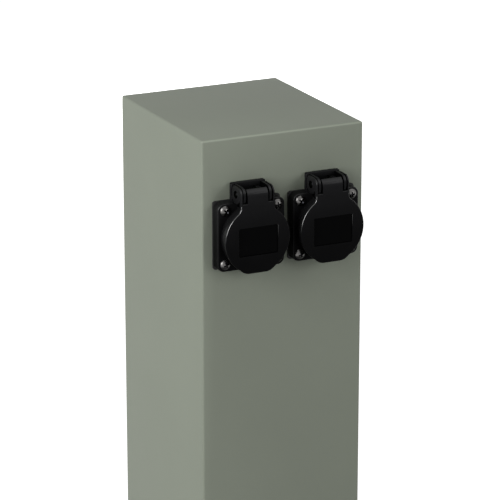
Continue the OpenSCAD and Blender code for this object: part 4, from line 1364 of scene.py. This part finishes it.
class SOCKETPOST_OT_flange_screws(bpy.types.Operator):
    """Makes the round-headed cross-drive screws of the flanges"""

    bl_idname = "socket_post.flange_screws"
    bl_label = "Flange Screws"

    # How far each screw's drive is turned, in degrees
    turns = (20, -35, 65, 5)

    # Shares of the shank's radius: what is left at the tip, and the height of its chamfer
    point = (0.8, 0.4)

    # Shares of the dome's radius: within the first a face is sunk, and the head starts at the second
    sunk_share, head_share = 0.975, 0.6

    def execute(self, context):
        screw = settings().screw
        places = flange_screw_places(screw)
        screws = [self.screw(screw, x, up, turn) for (x, up), turn in zip(places, self.turns)]
        complete_pair(join(screws), "flange_screw_set", "post", "bright_steel", "flange_screws")
        return {"FINISHED"}

    def screw(self, screw, x, up, turn):
        """One screw, its drive turned by some degrees."""
        seat, radius = SCREW_TOP - screw.head_height, screw.head / 2
        rise = screw.head_height - screw.shoulder
        ball = (radius**2 + rise**2) / (2 * rise)
        outline = screw_outline(screw.shank / 2, SCREW_TIP, seat, radius, SCREW_TOP, ball, self.point)
        solid = turn_outline(outline, x, up)
        cut(solid, *self.drive(screw, x, up, turn))
        self.paint_drive_shade(solid, at(x, up, SCREW_TOP - ball), ball)
        return solid

    def paint_drive_shade(self, solid, middle, ball):
        """Paints shade in the drive: the faces sunk below the head's dome get the dark blued finish."""

        def sunk(face):
            on_head = face.center.y < middle.y - ball * self.head_share
            return on_head and (face.center - middle).length < ball * self.sunk_share

        give(solid, "bright_steel")
        give(solid, "blued_steel", sunk)

    def drive(self, screw, x, up, turn):
        """The two arms of the cross, narrower at the bottom."""
        foot = at(x, up, SCREW_TOP - screw.drive_depth)
        shrink = (screw.drive_taper, 1, screw.drive_taper)
        for span, width in ((screw.drive, screw.drive_width), (screw.drive_width, screw.drive)):
            half = Vector((span / 2, 0, width / 2))
            arm = add_block(foot - half, at(x, up, SCREW_TOP + screw.drive_rise) + half)
            with editing(arm) as mesh:
                pick_corners(mesh, lambda place: abs(place.y - foot.y) < SAME)
                bpy.ops.transform.resize(value=shrink, center_override=foot)
                bpy.ops.mesh.select_all(action="SELECT")
                bpy.ops.transform.rotate(value=math.radians(turn), orient_axis="Y", center_override=foot)
            yield arm


class SOCKETPOST_OT_hinge_pins(bpy.types.Operator):
    """Makes the hinge pins with round ends"""

    bl_idname = "socket_post.hinge_pins"
    bl_label = "Hinge Pins"

    def execute(self, context):
        hinge = settings().hinge
        half = (PIN_HIGH.x - PIN_LOW.x) / 2
        pin = pin_rod(half, hinge.pin / 2)
        for end in (PIN_LOW.x, PIN_HIGH.x):
            round_edges(pin, on_plane(X, end), hinge.pin / 6)
        # The pin takes the dark blued finish, partly as painted shade on its ends in the cheeks' holes
        complete_pair(pin, "hinge_rod", "post", "bright_steel", "hinge_pin", finish="blued_steel")
        return {"FINISHED"}


class SOCKETPOST_OT_hinge_springs(bpy.types.Operator):
    """Winds the springs that close the lids"""

    bl_idname = "socket_post.hinge_springs"
    bl_label = "Hinge Springs"
    turn_points = 24
    wire_sides = 12

    def execute(self, context):
        hinge = settings().hinge
        half = hinge.turns * hinge.coil_pitch / 2
        left = wire_along(self.line(hinge, half), hinge.wire / 2, self.wire_sides)
        pair = (left, copy_of(left, (PITCH, 0, 0)))
        for side, x, spring in zip(SIDES, (0, PITCH), pair):
            spring.name = f"{side}_closing_spring"
            spring.data.name = spring.name
            give(spring, "blued_steel")
            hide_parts(f"hinge_spring_{side}")
            at(x + half, PIN_UP, PIN_OUT)
            at(x - half, PIN_UP, PIN_OUT)
            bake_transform(spring)
        return {"FINISHED"}

    def line(self, hinge, half):
        """The middle of the wire: a leg to the lid, the coil, and a leg to the hinge plate."""
        radius, count = hinge.coil / 2, hinge.turns * self.turn_points
        plate = GASKET_OUT + hinge.plate + hinge.wire / 2
        points = [at(-half, PIN_UP + radius, PIN_OUT + hinge.foot)]
        for step in range(count + 1):
            turn = math.radians(90 + 360 * hinge.turns * step / count)
            x = -half + 2 * half * step / count
            points.append(at(x, PIN_UP + radius * math.sin(turn), PIN_OUT + radius * math.cos(turn)))
        return points + [at(half, PIN_UP + radius, plate)]


class SOCKETPOST_OT_base_screws(bpy.types.Operator):
    """Makes the button-headed screws of the foot"""

    bl_idname = "socket_post.base_screws"
    bl_label = "Base Screws"

    # Shares of the shank's radius: what is left at the tip, and the height of its chamfer
    point = (0.85, 0.3)

    # Radius of the dome as a share of the head's width, and the key's floor as one of its height
    dome_share, floor_share = 0.62, 0.35

    def execute(self, context):
        screw = settings().screw
        screws = [self.screw(screw, side, back) for side, back in fixing_places()]
        complete(join(screws), "foot_screw_set", "post", "bright_steel", ["base_screws"])
        return {"FINISHED"}

    def screw(self, screw, side, back):
        """One screw through the column's side, with a hexagon for the key."""
        head, high = screw.fixing_head, screw.fixing_height
        ball = self.dome_share * head
        outline = screw_outline(
            screw.fixing_shank / 2, -screw.fixing_length, 0, head / 2, high, ball, self.point
        )
        points = [beside_foot(side, back, out, radius) for radius, out in outline]
        solid = spin_outline(points, Vector((0, back, FIXING_HEIGHT)), (1, 0, 0))
        floor, past = [beside_foot(side, back, high * share) for share in (self.floor_share, 2)]
        cut(solid, add_rod(floor, past, screw.fixing_key / math.sqrt(3), sides=6))
        return solid


class SOCKETPOST_OT_leads(bpy.types.Operator):
    """Lays the leads from the terminals to the sockets and the bonding lead to its lug"""

    bl_idname = "socket_post.leads"
    bl_label = "Leads"
    wire_sides = 16
    stripe_sides = 6
    curve_steps = 40

    def execute(self, context):
        sizes = settings()
        lead, half_pins = sizes.lead, sizes.socket.pin_pitch / 2
        live = [
            self.supply(lead, -1, -half_pins, -lead.entry_offset),
            self.jumper(lead, -half_pins, -half_pins, lead.entry_offset),
        ]
        neutral = [
            self.supply(lead, 1, half_pins, lead.entry_offset),
            self.jumper(lead, half_pins, half_pins, -lead.entry_offset),
        ]
        earth = [
            self.supply(lead, 0, -lead.earth_entry, -lead.earth_drop),
            self.jumper(lead, lead.earth_entry, -lead.earth_entry, -lead.earth_drop),
            self.bond(lead),
        ]
        for wire in earth:
            self.stripe(wire)
        for name, slot, wires in (
            ("live", "brown_sheath", live),
            ("neutral", "blue_sheath", neutral),
            ("earth", "green_sheath", earth),
        ):
            nodes = [f"{name}_wires"]
            complete(join(wires), f"{name}_leads", "post", slot, nodes, smooth=WIRE_SMOOTH_ANGLE)
        return {"FINISHED"}

    def stripe(self, wire):
        """Gives a green wire its yellow stripe."""
        give(wire, "green_sheath")
        give(wire, "yellow_stripe", lambda face: face.index % self.wire_sides < self.stripe_sides)

    def supply(self, lead, pole, x, up):
        """A lead from a terminal up to the left socket."""
        low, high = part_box("terminal_bars")
        start = Vector((pole * lead.pole_pitch, (low.y + high.y) / 2, high.z))
        end = self.entry(x, up)
        return self.curve(start, (0, 0, lead.supply_rise), end, (0, lead.supply_reach, 0), lead)

    def jumper(self, lead, left_x, right_x, up):
        """A lead from the left socket to the right one."""
        start, end = self.entry(left_x, up), self.entry(right_x + PITCH, up)
        return self.curve(start, (0, lead.jumper_reach, 0), end, (0, lead.jumper_reach, 0), lead)

    def bond(self, lead):
        """The bonding lead from the earth terminal down to the lug."""
        low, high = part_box("terminal_bars")
        lug_low, lug_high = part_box("earth_lug")
        start = Vector((0, (low.y + high.y) / 2, low.z))
        end = Vector(((lug_low.x + lug_high.x) / 2, lug_high.y - lead.lug_barrel / 2, lug_high.z))
        return self.curve(start, (0, 0, -lead.bond_reach), end, (0, 0, lead.bond_reach), lead)

    def entry(self, x, up):
        """Where a wire goes into the back of the left socket's contacts."""
        return at(x, up, CENTRE.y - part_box("contact_carrier_left")[1].y)

    def curve(self, start, leaving, end, arriving, lead):
        """A bent wire between two points, with the pull of its two ends."""
        select_only()
        bpy.ops.curve.primitive_bezier_curve_add()
        wire = bpy.context.object
        first, last = wire.data.splines[0].bezier_points
        for point, place, onward in ((first, start, Vector(leaving)), (last, end, -Vector(arriving))):
            point.handle_left_type = "FREE"
            point.handle_right_type = "FREE"
            point.co = place
            point.handle_left = place - onward
            point.handle_right = place + onward
        wire.data.resolution_u = self.curve_steps
        return round_curve(wire, lead.wire / 2, self.wire_sides)


class SOCKETPOST_OT_kept_finishes(bpy.types.Operator):
    """Gives the pieces that keep their construction shape their finishes"""

    bl_idname = "socket_post.kept_finishes"
    bl_label = "Kept Finishes"

    def execute(self, context):
        for subpart in frame["record"]["subparts"]:
            piece = frame["nodes"][subpart["node"]]
            piece.data.materials.clear()
            give(piece, subpart["material_slot"])
        return {"FINISHED"}


class SOCKETPOST_PT_panel(bpy.types.Panel):
    """Lists the sizes, the finishes and what makes each piece"""

    bl_idname = "SOCKETPOST_PT_panel"
    bl_label = "Socket Post"
    bl_space_type = "VIEW_3D"
    bl_region_type = "UI"
    bl_category = "Socket Post"

    def draw(self, context):
        for title in SocketPostSettings.__annotations__:
            group = getattr(settings(), title)
            box = self.layout.box()
            box.label(text=title.title())
            for name in group.__annotations__:
                box.prop(group, name)
        for operator in OPERATORS:
            self.layout.operator(operator.bl_idname)


OPERATORS = (
    SOCKETPOST_OT_stage,
    SOCKETPOST_OT_post_shell,
    SOCKETPOST_OT_socket_bodies,
    SOCKETPOST_OT_socket_floors,
    SOCKETPOST_OT_lids,
    SOCKETPOST_OT_lid_seals,
    SOCKETPOST_OT_flange_screws,
    SOCKETPOST_OT_hinge_pins,
    SOCKETPOST_OT_hinge_springs,
    SOCKETPOST_OT_base_screws,
    SOCKETPOST_OT_leads,
    SOCKETPOST_OT_kept_finishes,
)
GROUPS = (
    PostSizes, SocketSizes, HingeSizes, LidSizes, ScrewSizes, LeadSizes, FinishColours, StageSettings,
    SocketPostSettings,
)
CLASSES = GROUPS + OPERATORS + (SOCKETPOST_PT_panel,)


def register():
    """Adds the settings, the operators and the panel."""
    for one in CLASSES:
        bpy.utils.register_class(one)
    bpy.types.Scene.socket_post = bpy.props.PointerProperty(type=SocketPostSettings)


def unregister():
    """Takes them away again."""
    del bpy.types.Scene.socket_post
    for one in reversed(CLASSES):
        bpy.utils.unregister_class(one)


def main():
    """Makes the stage and every piece."""
    register()
    for operator in OPERATORS:
        getattr(bpy.ops.socket_post, operator.bl_idname.split(".")[1])()


if __name__ == "__main__":
    main()
